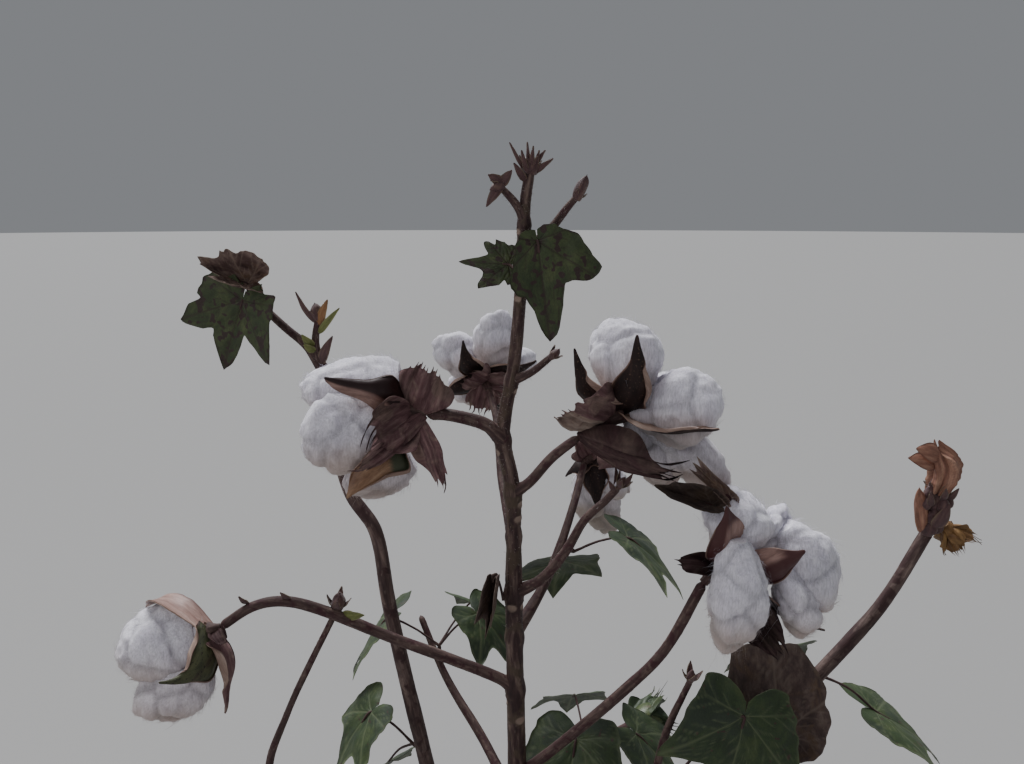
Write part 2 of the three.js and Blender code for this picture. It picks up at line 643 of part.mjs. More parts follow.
// The locks, valves and bracts of a boll that is laid out evenly about the way it faces
function roundBoll({ foot, hub, facing, turn, size, count }) {
  const ahead = vec(facing).normalize();
  const side = new THREE.Vector3(0, 0, 1).cross(ahead).normalize();
  const tipAt = (index, offset, spread, reach) => {
    const angle = radians(turn) + (2 * Math.PI * (index + offset)) / count;
    const round = side.clone().applyAxisAngle(ahead, angle);
    const way = ahead.clone().multiplyScalar(Math.cos(spread)).addScaledVector(round, Math.sin(spread));
    return vec(hub).addScaledVector(way, reach * size).toArray();
  };
  const wheel = [...Array(count).keys()];
  return {
    foot,
    hub,
    locks: wheel.map((i) => {
      const spread = radians(LOCK_SPREAD + 8 * (i % 2));
      return [tipAt(i, 0, spread, LOCK_LENGTH + 4 * (i % 3)), LOCK_WIDTH * size];
    }),
    valves: wheel.map((i) => tipAt(i, 0.5, radians(VALVE_SPREAD), VALVE_LENGTH)),
    bracts: [0, 1, 2].map((i) => {
      const offset = (i * count) / 3 - i + 0.25;
      return [tipAt(i, offset, radians(BRACT_SPREAD), BRACT_LENGTH), BRACT_WIDTH * size];
    }),
  };
}

// A lobed leaf on its stalk, folded along the midrib and drooping towards its edge
function leafSolid({ from, at, tip, face, wide, fold, droop, outline = LOBED }, grow) {
  const base = vec(at);
  const along = vec(tip).sub(base);
  const length = along.length();
  along.normalize();
  const up = vec(face);
  up.addScaledVector(along, -up.dot(along)).normalize();
  const across = along.clone().cross(up);
  const onBlade = (turn, distance) => {
    const sideways = Math.sin(radians(turn)) * distance;
    const height = fold * Math.abs(sideways) - (droop * distance * distance) / length;
    const place = base.clone().addScaledVector(across, wide * sideways).addScaledVector(up, height);
    return place.addScaledVector(along, Math.cos(radians(turn)) * distance);
  };
  const edge = outline.map(([turn, reach]) => onBlade(turn, length * reach + grow));
  const points = [onBlade(0, LEAF_CENTRE * length), ...edge, base.clone().addScaledVector(along, -grow)];
  const rim = points.map((_, k) => k).slice(1);
  const faces = rim.map((k, i) => [0, rim[(i + 1) % rim.length], k]);
  const blade = plateSolid(points, faces, rim.reverse(), LEAF_THICKNESS + 2 * grow);
  const stalk = stalkSolid(vec(from), base, PETIOLE_RADIUS, grow, onBlade(0, 0.5 * LEAF_CENTRE * length));
  return joined([blade, stalk]);
}

// A mass of leaves as one piece: a short twig from a limb, and the leaf stalks that leave its end
function leavesSolid({ foot, fork, leaves }, grow) {
  const twig = stalkSolid(vec(foot), vec(fork), TWIG_RADIUS, grow);
  return joined([twig, ...leaves.map((leaf) => leafSolid({ from: fork, ...leaf }, grow))]);
}

// Numbers between 0 and 1 that are the same in every run
function seeded(seed) {
  let state = seed * 2654435761 + 97;
  return () => {
    state = (Math.imul(state ^ (state >>> 15), 2246822519) + 3266489917) >>> 0;
    return ((state ^ (state >>> 13)) >>> 0) / 2 ** 32;
  };
}

// A leafy shoot laid out by rule: its leaves spread round it by the golden angle and hang from the ends of
// their stalks
function leafyShoot({ foot, facing, stalk, blade, count, seed }) {
  const random = seeded(seed);
  const ahead = vec(facing).normalize();
  const side = new THREE.Vector3(0.2, 1, 0.1).cross(ahead).normalize();
  const fork = vec(foot).addScaledVector(ahead, SHOOT_TWIG);
  const leaves = [...Array(count).keys()].map((i) => {
    const round = side.clone().applyAxisAngle(ahead, GOLDEN_ANGLE * (i + seed) + 0.4 * random());
    const way = round.clone().multiplyScalar(0.85).addScaledVector(ahead, mix(0.35, 0.7, random()));
    way.normalize();
    const at = fork.clone().addScaledVector(way, stalk * mix(0.8, 1.1, random()));
    const hang = new THREE.Vector3(way.x, way.y, -mix(0.35, 0.9, random())).normalize();
    const tip = at.clone().addScaledVector(hang, blade * mix(0.85, 1.1, random()));
    const face = [0.5 * way.x, 0.5 * way.y, 1];
    const wide = mix(0.9, 1.05, random());
    return { at: at.toArray(), tip: tip.toArray(), face, wide, fold: 0.12, droop: 0.25 };
  });
  return { foot, fork: fork.toArray(), leaves };
}

// A bud: a small pointed body with scales that stand out round its foot
function budSolid({ foot, facing, body, scales, reach }, grow) {
  const ahead = vec(facing).normalize();
  const start = vec(foot);
  const [length, width] = body;
  const path = [0, 0.5, 1].map((share) => start.clone().addScaledVector(ahead, share * length).toArray());
  const radiusAt = (share) => (width / 2) * Math.sin(Math.PI * mix(0.2, 0.93, share));
  const core = limbSolid(path, radiusAt, BUD_SIDES, 4, grow);
  const side = new THREE.Vector3(0, 1, 0.3).cross(ahead).normalize();
  const shape = { ...SCALE, width: 0.36 * reach, rows: reach > LONG_SCALE ? 2 : 1 };
  const around = [...Array(scales).keys()].map((i) => {
    const round = side.clone().applyAxisAngle(ahead, (2 * Math.PI * i) / scales);
    const tip = start.clone().addScaledVector(ahead, reach * (0.8 + 0.16 * (i % 2)));
    tip.addScaledVector(round, 0.5 * reach);
    return bladeSolid(start.clone().addScaledVector(ahead, 1.5), tip, ahead, shape, grow);
  });
  return joined([core, ...around]);
}

function witheredSolid(grow) {
  const links = WITHERED_LINKS.map((ends) => stalkSolid(...ends.map(vec), TWIG_RADIUS, grow));
  return joined([...links, ...WITHERED.map((bud) => budSolid(bud, grow))]);
}

const spurSolid = (limb, grow) => joined([boughSolid(limb, grow), budSolid(limb.bud, grow)]);

const bollOf = (name) => BOLLS[name] ?? roundBoll(ROUND_BOLLS[name]);
const bollNames = [...Object.keys(BOLLS), ...Object.keys(ROUND_BOLLS)];
const dryLeaves = ["leaf_curled_middle", "leaf_dry_right", "leaf_dry_low"];

// Every piece in the order it is fitted: a later piece is cut back where it would touch an earlier one
const pieces = [
  ["main_stem", "stem", stemSolid],
  ...Object.entries(LIMBS).map(([name, limb]) =>
    [name, "branch", (grow) => (limb.bud ? spurSolid(limb, grow) : boughSolid(limb, grow))]),
  ...bollNames.map((name) => [`${name}_bur`, "bur", (grow) => burSolid(bollOf(name), grow)]),
  ...bollNames.map((name) => [`${name}_lint`, "lint", (grow) => lintSolid(bollOf(name), grow)]),
  ...Object.entries(BUDS).map(([name, bud]) => [name, "bud", (grow) => budSolid(bud, grow)]),
  ["withered_flower_right", "bud", witheredSolid],
  ...Object.entries(LEAVES).map(([name, leaves]) =>
    [name, dryLeaves.includes(name) ? "leaf_dry" : "leaf_green", (grow) => leavesSolid(leaves, grow)]),
  ...Object.entries(LEAFY_SHOOTS).map(([name, shoot]) =>
    [name, "leaf_green", (grow) => leavesSolid(leafyShoot(shoot), grow)]),
];

const boxesMeet = (a, b) => [0, 1, 2].every((k) => a.min[k] <= b.max[k] && b.min[k] <= a.max[k]);
const larger = (one, other) => (other.volume() > one.volume() ? other : one);
const largestBody = (solid) => solid.decompose().reduce(larger);

// An earlier piece is taken away at several sizes, so that the gap to it is kept on its thin edges too
const CUT_SHARES = [1, 0.6, 0.2, 0];

const plant = new THREE.Group();
const fitted = [];
for (const [name, colour, build] of pieces) {
  const gap = colour === "lint" ? LINT_GAP : GAP;
  const whole = build(0).simplify(SMOOTHING);
  const box = whole.boundingBox();
  const near = fitted.filter((other) => boxesMeet(box, other.box));
  const cutBack = (left, other) =>
    CUT_SHARES.reduce((rest, share) => rest.subtract(other.build(share * gap)), left);
  const cut = near.reduce(cutBack, whole);
  const solid = largestBody(largestBody(cut).simplify(SMOOTHING));
  fitted.push({ build, box: build(GAP).boundingBox() });
  const { vertProperties, triVerts, numProp } = solid.getMesh();
  const geometry = new THREE.BufferGeometry();
  geometry.setAttribute("position", new THREE.BufferAttribute(new Float32Array(vertProperties), numProp));
  geometry.setIndex(new THREE.BufferAttribute(new Uint32Array(triVerts), 1));
  const roughness = colour === "lint" ? 1 : 0.8;
  const material = new THREE.MeshStandardMaterial({ color: COLOURS[colour], roughness, metalness: 0 });
  const mesh = new THREE.Mesh(geometry, material);
  mesh.name = name;
  plant.add(mesh);
}

export default plant;
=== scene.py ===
"""A cotton plant at picking time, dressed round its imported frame: ridged bark, dry burs with papery bracts,
fluffy lint, lobed leaves, buds and a withered flower.

The plant's own sizes are in millimetres and become metres when a mesh is made. +Z is up, +X is to the right
and +Y points away from the side that is seen.
"""
import math

import bpy
import numpy as np
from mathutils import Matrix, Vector


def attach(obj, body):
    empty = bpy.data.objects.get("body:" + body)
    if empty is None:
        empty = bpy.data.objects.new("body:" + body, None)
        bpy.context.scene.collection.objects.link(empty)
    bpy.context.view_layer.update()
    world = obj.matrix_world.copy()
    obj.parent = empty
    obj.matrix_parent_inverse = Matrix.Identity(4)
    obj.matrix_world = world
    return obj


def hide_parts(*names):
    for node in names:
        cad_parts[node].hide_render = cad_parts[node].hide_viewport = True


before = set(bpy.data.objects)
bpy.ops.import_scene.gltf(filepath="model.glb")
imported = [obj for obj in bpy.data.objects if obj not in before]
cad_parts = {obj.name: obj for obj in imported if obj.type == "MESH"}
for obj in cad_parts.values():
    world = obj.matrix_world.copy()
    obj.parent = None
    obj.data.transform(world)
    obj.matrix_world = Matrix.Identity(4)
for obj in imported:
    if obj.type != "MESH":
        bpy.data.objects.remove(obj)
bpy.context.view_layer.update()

MM = 0.001
BODY = "root"

# Driving sizes, in millimetres
STALK_RADIUS = 2.0
KNOB_RADIUS = 4.6
PETIOLE_RADIUS = 0.75
TWIG_RADIUS = 1.3
BUD_SEAT = 1.8
SHOOT_TWIG = 12
VALVE_LENGTH = 42
VALVE_WIDTH = 23
VALVE_THICKNESS = 1.0
BRACT_LENGTH = 27
BRACT_WIDTH = 28
BRACT_THICKNESS = 0.3
SCALE_THICKNESS = 0.45
PETAL_THICKNESS = 0.35
LEAF_THICKNESS = 0.3
LOCK_LENGTH = 50
LOCK_WIDTH = 34
JOINT_REACH = 6
PORE_GAP = 2.2
STEM_RIDGES = 0.16
SIDE_RIDGES = 0.13
LIMB_RIDGES = 0.11

# Shares, and how far the parts of an even boll lean from the way it faces, in degrees
COLLAR = 0.35
SEAT_SHARE = 0.35
LOCK_SPREAD = 52
VALVE_SPREAD = 86
BRACT_SPREAD = 112

# Angles in radians
VALVE_ARC = 1.0
GOLDEN_ANGLE = 2.39996

# How fine the meshes are: steps along a rod in millimetres and its sides, rows and columns of a sheet
STEM_STEP, STEM_SIDES = 0.9, 56
LIMB_STEP, LIMB_SIDES, SIDE_STEM_SIDES = 1.1, 32, 40
SEAT_STEP, SEAT_SIDES = 0.6, 24
STALK_STEP, STALK_SIDES = 0.8, 10
BUD_ROWS, BUD_SIDES = 22, 20
FRUIT_ROWS, FRUIT_SIDES = 60, 72
VALVE_ROWS, VALVE_COLUMNS = 44, 37
BRACT_ROWS, TOOTH_COLUMNS = 24, 12
SCALE_ROWS, SCALE_COLUMNS = 16, 9
PETAL_ROWS, PETAL_COLUMNS = 54, 84
NEAR_LOCK, FAR_LOCK = (60, 64), (44, 48)
FINE_LEAF, PLAIN_LEAF = (20, 145), (12, 97)

# Fibres and lumps on a lock of lint, the share of fibres that are long and loose, and pieces in a strand
NEAR_FIBRES, FAR_FIBRES = 3600, 1500
LOCK_LUMPS = 9
LUMP_TRIES = 4000
USUAL_LOOSE = 0.002
STRAND_PIECES = 2

# Finishes of a bur and of a leaf, by number
OUTSIDE, INSIDE, PAPER, PAPER_PALE, STALK, OUTSIDE_GREEN, FOLDED, ORANGE = range(8)
BLADE, LEAF_STALK, CURLED_BLADE = range(3)

# The main stem: the places it passes through from the ground to its tip, each with its radius
STEM = [
    (0, 0, 0, 13.5), (0, 0, 9, 10.2), (0, 0, 26, 8.4), (1, 1, 62, 7.6), (-1, 2, 118, 7.0), (2, 1, 178, 6.4),
    (3, 0, 251, 5.9), (2, 0, 305, 5.2), (1, 0, 367, 5.1), (1, 0, 402, 4.4), (0, -2, 432, 4.6),
    (-5, -4, 462, 4.3), (-3, -4, 480, 3.5), (0, -4, 495, 3.7), (3, -4, 522, 3.4), (5, -4, 548, 3.4),
    (6, -4, 569, 3.5), (7, -4, 588, 2.9), (9, -4, 603, 2.8),
]

# Leaf scars on the main stem: the length run to each, and the way it looks
STEM_SCARS = [
    (359, (-0.25, -1, 0)), (285, (0.5, -0.9, 0)), (414, (0.6, -0.8, 0)), (540, (-0.4, -0.9, 0)),
    (210, (-0.3, -1, 0)), (150, (0.8, -0.6, 0)), (96, (-0.7, -0.7, 0)),
]

# Limbs: the places each passes through, starting inside the limb that carries it, and its two radii
LIMBS = {
    "side_stem_left": ([(0, 0, 62), (-26, 10, 96), (-52, 23, 214), (-78, 36, 336), (-87, 44, 386),
                        (-103, 50, 410), (-119, 56, 492)], (5.4, 3.9)),
    "side_stem_right": ([(0, 0, 44), (40, -7, 74), (110, -12, 176), (150, -10, 259), (164, -10, 296),
                         (216, -2, 360), (242, 4, 405)], (5.6, 3.4)),
    "fork_left_top": ([(-118, 56, 489), (-128, 58, 503), (-141, 60, 514), (-154, 62, 527), (-159, 62, 538)],
                      (3.0, 1.9)),
    "shoot_left_top": ([(-118, 56, 488), (-121, 55, 505), (-118, 54, 522)], (2.6, 1.9)),
    "spur_right_top": ([(7, -4, 565), (16, -5, 571), (22, -6, 577), (28, -8, 585), (34, -8, 592)],
                       (2.6, 1.7)),
    "spur_left_top": ([(7, -4, 578), (3, -6, 586), (-2, -8, 592), (-7, -10, 597)], (2.5, 1.5)),
    "spur_right_upper": ([(0, -4, 494), (10, -8, 499), (18, -11, 506), (22, -13, 510)], (2.4, 1.6)),
    "branch_left_upper": ([(-5, -4, 461), (-14, -8, 470), (-24, -10, 474), (-37, -12, 477), (-46, -13, 477)],
                          (4.0, 3.0)),
    "branch_right_upper": ([(1, -2, 429), (9, -7, 436), (22, -10, 452), (36, -14, 465)], (3.4, 2.5)),
    "branch_right_middle": ([(1, 0, 366), (16, -4, 376), (30, -6, 394), (41, -8, 415), (52, -10, 427),
                             (59, -12, 436)], (3.4, 1.9)),
    "branch_left_middle": ([(2, 0, 304), (-8, -1, 311), (-65, -10, 341), (-123, -22, 372), (-141, -26, 372),
                            (-160, -30, 361)], (3.6, 2.6)),
    "branch_right_lower": ([(3, 0, 244), (14, -3, 254), (64, -22, 317), (84, -30, 347), (102, -36, 391)],
                           (3.2, 2.8)),
    "branch_back_top": ([(1, 0, 402), (-6, 34, 424), (-10, 70, 452), (-16, 97, 466)], (3.2, 2.2)),
    "branch_back_right": ([(1, 0, 338), (22, 30, 360), (40, 66, 392), (50, 96, 414)], (3.3, 2.3)),
    "branch_back_left": ([(2, 0, 222), (-18, 34, 240), (-46, 66, 268), (-66, 92, 300)], (3.5, 2.2)),
    "branch_back_low": ([(1, 1, 196), (28, 36, 206), (64, 72, 212), (96, 104, 206)], (3.6, 2.4)),
    "branch_front_right": ([(0, 2, 158), (26, -30, 176), (54, -66, 192), (74, -96, 190)], (3.7, 2.4)),
    "branch_front_left": ([(-1, 2, 126), (-28, -30, 146), (-58, -66, 166), (-80, -94, 168)], (3.8, 2.4)),
    "shoot_right_low": ([(96, -11, 152), (84, -22, 196), (80, -34, 256), (86, -36, 300), (98, -36, 333)],
                        (3.0, 1.7)),
    "shoot_left_foot": ([(0, 0, 38), (-50, -8, 78), (-103, -11, 136), (-142, -11, 232)], (3.9, 2.9)),
    "shoot_left_low": ([(-141, -11, 229), (-146, -11, 256), (-132, -12, 296), (-99, -14, 364)], (2.7, 1.7)),
}

# Open bolls. A lock of lint has its far end, its width and, where it doesn't start at the hub, how far off
# it starts. A valve has its tip, the way its back looks, how far it twists by its tip, how broadly its edges
# roll out, left and right, and how far it bows sideways. A bract has its far end, its width, the way its back
# looks and the share of the stalk at which it starts.
BOLLS = {
    "boll_right_upper": {
        "foot": (36, -14, 465), "hub": (60, -15, 478),
        "locks": [((53, -1, 527), 46), ((109, -28, 490), 42), ((118, -14, 434), 31), ((88, 4, 430), 30),
                  ((100, 30, 474), 36)],
        "valves": [((32, -19, 515), (-0.65, -0.75, 0), 20, 0.2, 0.9, 4),
                   ((63, -37, 526), (-0.15, -1, 0), 0, 0.2, 0.9, -2),
                   ((102, -47, 482.5), (0.1, -0.15, -1), -10, 0.5, 0.3, 0),
                   ((84, 30, 504), (0, 0.9, 0.4), 0, 0.5, 0.5, 0)],
        "bracts": [((26, -34, 491), 37, (-0.1, -0.95, -0.3), 0.35),
                   ((96, -46, 460), 21, (0, -0.85, -0.5), 1.0),
                   ((74, 16, 440), 30, (0, 0.7, -0.7), 0.35)],
    },
    "boll_right_lower": {
        "foot": (102, -36, 391), "hub": (112, -38, 403),
        "locks": [((113, -30, 442), 43), ((147, -24, 430), 24), ((167, -34, 374), 36, (26, 2, 23)),
                  ((152, -46, 366), 27, (26, -8, 3)), ((108, -57, 364), 35, (-1, -16, 25))],
        "valves": [((104, -60, 446), (-0.1, -0.98, 0), 0, 0.2, 0.2, 0),
                   ((142, -66, 426), (-0.3, -0.88, -0.32), 0, 0.2, 0.2, -5),
                   ((166, -44, 372), (0.5, -0.3, -0.8), 0, 0.3, 0.3, 0),
                   ((128, 2, 428), (0.2, 0.9, 0.3), 0, 0.5, 0.5, 0)],
        "bracts": [((80, -46, 406), 12, (0, -0.8, 0.6), 0.35), ((140, -50, 360), 26, (0, -1, 0), 0.35)],
    },
    "boll_left_upper": {
        "foot": (-46, -13, 477), "hub": (-57, -13, 479),
        "locks": [((-114, -8, 490), 37, (0, 6, 20)), ((-108, -32, 463), 44),
                  ((-92, -14, 434), 26, (6, 0, -28)), ((-101, 16, 462), 38)],
        "valves": [((-95, -38, 503), (0.1, -0.9, 0.4), 0, 1.25, 0.2, -3),
                   ((-84, -40, 439), (0.3, -0.92, 0.2), 24, 0.7, 0.5, 5),
                   ((-98, 18, 438), (0.2, 0.9, -0.3), 0, 0.5, 0.5, 0),
                   ((-106, 24, 484), (0.2, 0.9, 0.3), 0, 0.5, 0.5, 0)],
        "bracts": [((-42, -18, 506), 33, (-0.1, -0.97, 0.2), 0.35),
                   ((-78, -42, 467), 31, (0.2, -0.97, 0.1), 0.35),
                   ((-40, -18, 434), 14, (0.6, -0.8, 0), 0.35),
                   ((-85, -41, 453), 13, (0.25, -0.97, 0), 0.9)],
    },
    "boll_far_left": {
        "foot": (-160, -30, 361), "hub": (-165, -31, 360),
        "locks": [((-220, -26, 340), 46, (-6, 4, 1)), ((-206, -42, 324), 31, (4, -8, -24)),
                  ((-218, -2, 342), 34), ((-200, -8, 318), 32)],
        "valves": [((-215, -6, 357), (0, 0.8, 0.6), 0, 0.2, 0.2, 10),
                   ((-182, -62, 349), (0.1, -0.99, 0), 0, 0.2, 0.7, 10),
                   ((-158, -44, 318), (0.95, -0.3, 0), 0, 0.3, 1, 3),
                   ((-206, 6, 320), (0.2, 0.9, -0.3), 0, 0.5, 0.5, 0)],
        "bracts": [((-154, -40, 356), 9, (0.5, -0.8, 0), 0.35), ((-172, -12, 330), 20, (0.6, 0.7, 0), 0.35)],
    },
    "boll_back_right": {
        "foot": (50, 96, 414), "hub": (56, 104, 414),
        "locks": [((52, 116, 364), 30), ((70, 118, 352), 28), ((84, 112, 386), 30), ((62, 136, 384), 30)],
        "valves": [((40, 112, 398), None, 0, 0.5, 0.3, 0), ((84, 100, 420), None, 0, 0.3, 0.6, 0),
                   ((78, 136, 408), None, 0, 0.5, 0.5, 0), ((62, 94, 380), None, 0, 0.6, 0.3, 0)],
        "bracts": [((50, 90, 434), 24, None, 0.35), ((66, 118, 436), 26, None, 0.35)],
    },
}

# Valves whose outside is of another finish: brown-pink or green
VALVE_KINDS = {("boll_far_left", 1): OUTSIDE_GREEN, ("boll_far_left", 2): PAPER}

# Valves that show part of their inner face from outside: the side past a fold along them, 1 left and -1
# right, or 0 for the part past a share of their length, where the fold lies, and how light the dark part is
OPEN_VALVES = {
    ("boll_right_lower", 0): (-1, -0.2, 1), ("boll_right_lower", 1): (1, 0.3, 1),
    ("boll_left_upper", 1): (0, 0.5, 1), ("boll_far_left", 0): (1, -0.45, 1),
    ("boll_left_upper", 0): (1, 0.38, 0.35),
}

# Half the width of a valve, as a share of the widest, from its foot to its tip: the usual one, a blunt boat,
# a spade and a round body with a thin tail
CLAWED = [(0, 0.4), (0.1, 0.62), (0.2, 0.86), (0.32, 1.0), (0.46, 0.96), (0.56, 0.74), (0.66, 0.42),
          (0.76, 0.25), (0.88, 0.15), (1, 0.03)]
BOAT = [(0, 0.55), (0.12, 0.85), (0.25, 1.0), (0.4, 0.9), (0.55, 0.7), (0.7, 0.55), (0.84, 0.42),
        (0.93, 0.26), (1, 0.03)]
SPADE = [(0, 0.45), (0.15, 0.8), (0.3, 1.0), (0.52, 1.0), (0.66, 0.8), (0.77, 0.52), (0.87, 0.28),
         (0.94, 0.14), (1, 0.03)]
TAILED = [(0, 0.6), (0.1, 0.85), (0.22, 1.0), (0.42, 1.0), (0.52, 0.8), (0.6, 0.45), (0.7, 0.25),
          (0.82, 0.15), (1, 0.03)]

# Valves of a form of their own: the outline, the share of the length at which their rolled edges end, how
# wide they are, how much of their right side is cut away by the tip and how ragged they are
USUAL_FORM = (CLAWED, 0.66, 1, 0, 0)
VALVE_FORMS = {
    ("boll_left_upper", 0): (BOAT, 0.9, 1.05, 0.6, 0), ("boll_left_upper", 1): (SPADE, 0.85, 1.05, 0, 0.6),
    ("boll_right_lower", 0): (SPADE, 0.7, 1, 0, 0), ("boll_right_lower", 1): (SPADE, 0.7, 1.05, 0, 0),
    ("boll_far_left", 1): (TAILED, 0.66, 1.22, 0, 0), ("boll_far_left", 0): (SPADE, 0.9, 1, 0, 0),
    ("boll_right_upper", 1): (CLAWED, 0.68, 1.15, 0, 0), ("boll_right_upper", 2): (BOAT, 0.8, 1.3, 0, 0),
}

# Bracts whose teeth are not the usual ones: their count and how far they reach
USUAL_TEETH = (6, 0.30)
BRACT_TEETH = {
    ("boll_left_upper", 0): (9, 0.14), ("boll_left_upper", 2): (3, 0.2), ("boll_left_upper", 3): (3, 0.2),
    ("boll_right_upper", 0): (6, 0.08), ("boll_right_lower", 0): (2, 0.14),
    ("boll_right_lower", 1): (3, 0.12), ("boll_far_left", 0): (4, 0.1),
}

# Bracts that are lighter or darker than the usual ones
BRACT_TONES = {
    ("boll_left_upper", 2): 1.3, ("boll_right_upper", 1): 0.42, ("boll_right_lower", 0): 0.35,
    ("boll_right_lower", 1): 0.3, ("boll_far_left", 0): 0.4, ("boll_far_left", 1): 0.5,
}

# Bracts of two colours, by the side that is pale
PALE_BRACTS = {("boll_right_upper", 0): 1}

# What a bract's teeth, pale side and tone are, and what they usually are
BRACT_LOOKS = [(BRACT_TEETH, USUAL_TEETH), (PALE_BRACTS, 0), (BRACT_TONES, 1)]

# Bolls that show in full, and the shares of long loose fibres that are not the usual one
NEAR_BOLLS = ("boll_right_upper", "boll_right_lower", "boll_left_upper", "boll_far_left")
LOOSE_FIBRES = {"boll_right_lower": 0.025}

# Bolls laid out by rule: foot, hub, the way the boll faces, a turn in degrees, its size and its locks
ROUND_BOLLS = {
    "boll_back_top": ((-16, 97, 466), (-19, 109, 470), (-0.1, 0.86, 0.5), 20, 0.92, 4),
    "boll_front_right": ((74, -96, 190), (81, -105, 186), (0.5, -0.7, -0.35), 0, 1.0, 5),
    "boll_front_left": ((-80, -94, 168), (-88, -102, 165), (-0.6, -0.62, -0.25), 35, 0.96, 4),
}

# Leaves: foot, fork, and for each leaf the place where its stalk ends, its tip, the way its upper face looks,
# how far its side lobes reach, its fold and its droop
LEAVES = {
    "leaf_top": ((6, -4, 564), (10, -9, 567),
                 [((13, -15, 569), (20, -20, 517), (0.05, -1, 0.05), 1, 0.08, 0.05)]),
    "leaf_top_left": ((5, -4, 551), (1, 0, 554),
                      [((-2, 4, 556), (-28, 6, 558), (0.1, -1, 0.3), 0.8, 0.15, 0.1)]),
    "leaf_curled_middle": ((1, 0, 363), (-5, -1, 362),
                           [((-8, -2, 375), (-12, -1, 344), (-0.3, -1, 0), 0.24, 0.6, -0.1)]),
    "leaf_dry_right": ((106, -34, 398), (112, -34, 414),
                       [((111, -43, 441), (88, -44, 463), (0.1, -1, 0), 0.6, 0.3, 0.05),
                        ((102, -42, 437), (71, -44, 448), (0, -0.85, 0.4), 0.52, 0.7, 0.1)]),
    "leaf_dry_low": ((164, -10, 296), (159, -16, 291),
                     [((155, -21, 287), (146, -28, 350), (0, -1, 0.1), 0.9, 0.15, 0.2)]),
    "leaves_shoot_right": ((82, -35, 268), (90, -42, 275),
                           [((126, -44, 316), (112, -66, 266), (0.1, -0.9, 0.5), 1, 0.12, 0.25),
                            ((62, -50, 262), (32, -62, 232), (-0.2, -0.6, 0.8), 1, 0.12, 0.2)]),
    "leaves_left_top": ((-157, 62, 532), (-161, 57, 535),
                        [((-164, 55, 531), (-183, 53, 486), (-0.3, -1, 0.1), 1, 0.3, 0.15),
                         ((-162, 59, 541), (-194, 52, 553), (0, -0.85, 0.5), 0.62, 0.6, -0.2)]),
}

# Leafy shoots laid out by rule: foot, the way they leave, length of stalks and blades, count and seed
LEAFY_SHOOTS = {
    "leaves_back_left": ((-50, 72, 275), (-0.1, 0.2, 1), 46, 50, 3, 3),
    "leaves_back_right": ((32, 49, 376), (0.5, 0.2, -0.5), 44, 50, 2, 8),
    "leaves_back_low": ((50, 57, 209), (0.1, 0.2, 1), 46, 50, 3, 5),
    "leaves_front_right": ((31, -37, 179), (-0.1, -0.3, 1), 44, 50, 3, 24),
    "leaves_front_left": ((-43, -48, 156), (-0.2, -0.1, 1), 46, 50, 3, 9),
    "leaves_side_right": ((178, -9, 313), (0.6, 0.8, -0.1), 40, 48, 2, 2),
    "leaves_side_left": ((-56, 24, 238), (-0.7, 0.5, 0.3), 44, 46, 2, 9),
}

# Buds: foot, the way they point, length and width of the body, count and reach of the scales
BUDS = {
    "spur_right_top": ((33.5, -8, 591), (0.4, 0, 0.92), 12, 6.5, 3, 7),
    "spur_left_top": ((-6, -10, 596), (-0.9, -0.3, -0.3), 6, 5.5, 2, 8),
    "spur_right_upper": ((21.5, -13, 509), (0.5, -0.2, 0.6), 6, 4.5, 3, 7),
    "buds_stem_tip": ((9, -4, 604), (0.1, 0, 1), 9, 10, 6, 10),
    "buds_branch_middle": ((59.5, -12, 436.5), (0.4, -0.1, 0.8), 6, 4.5, 3, 9),
    "buds_left_top": ((-118.5, 54, 521), (-0.2, 0, 1), 9, 8, 3, 9),
    "buds_left_low": ((-99, -14, 364.5), (0.2, -0.1, 1), 10, 8, 4, 12),
    "buds_right_low": ((98, -36, 333.5), (0.1, -0.1, 1), 6, 5, 4, 10),
}

# Small leaves and scales beside the buds: foot, tip, width and finish, 0 purple, 1 yellow-green and 2 orange
SPRIGS = {
    "buds_left_top": [((-119.5, 54, 517), (-130, 53, 537), 3.5, 0),
                      ((-118, 53, 516), (-111, 52, 532), 5.5, 2),
                      ((-118.5, 53.5, 511), (-104, 52, 527), 4, 1),
                      ((-118.5, 54.5, 492), (-109, 52, 510), 6, 0),
                      ((-122, 53, 503), (-128, 51, 511), 5.5, 1), ((-121, 52, 500), (-127, 50, 505), 5, 1),
                      ((-127, 57, 502), (-132, 55, 509), 4, 0)],
    "buds_stem_tip": [((7, -5, 604), (-1, -5, 618), 1.8, 0), ((9, -6, 606), (8, -5, 618), 1.6, 0),
                      ((11, -6, 606), (17, -5, 614), 2.2, 0), ((11, -5, 603), (21, -5, 610), 2.8, 0),
                      ((7, -6, 599), (1, -8, 608), 3.6, 0), ((8, -7, 603), (5, -8, 614), 2.4, 0),
                      ((10, -7, 605), (11, -8, 616), 2, 0), ((12, -6, 605), (14, -7, 614), 2, 0)],
    "spur_left_top": [((-5, -10, 598), (-13, -10, 586), 5, 0), ((-6, -10, 596.5), (0, -11, 604), 5, 0),
                      ((-5, -11, 598), (-12, -12, 602), 5, 0)],
    "buds_left_low": [((-103, -16, 361), (-111, -17, 369), 5, 1), ((-96, -16, 361), (-83, -17, 362), 6, 1)],
    "branch_left_middle": [((-145, -26, 373), (-149, -28, 379), 3.6, 0),
                           ((-123, -23, 374), (-127, -25, 380), 4, 0)],
    "buds_branch_middle": [((57, -12, 433), (53, -13, 440), 3, 0), ((61, -12, 436), (66, -13, 444), 3, 0)],
}
SPRIG_FACING = (0.2, 1, 0.1)

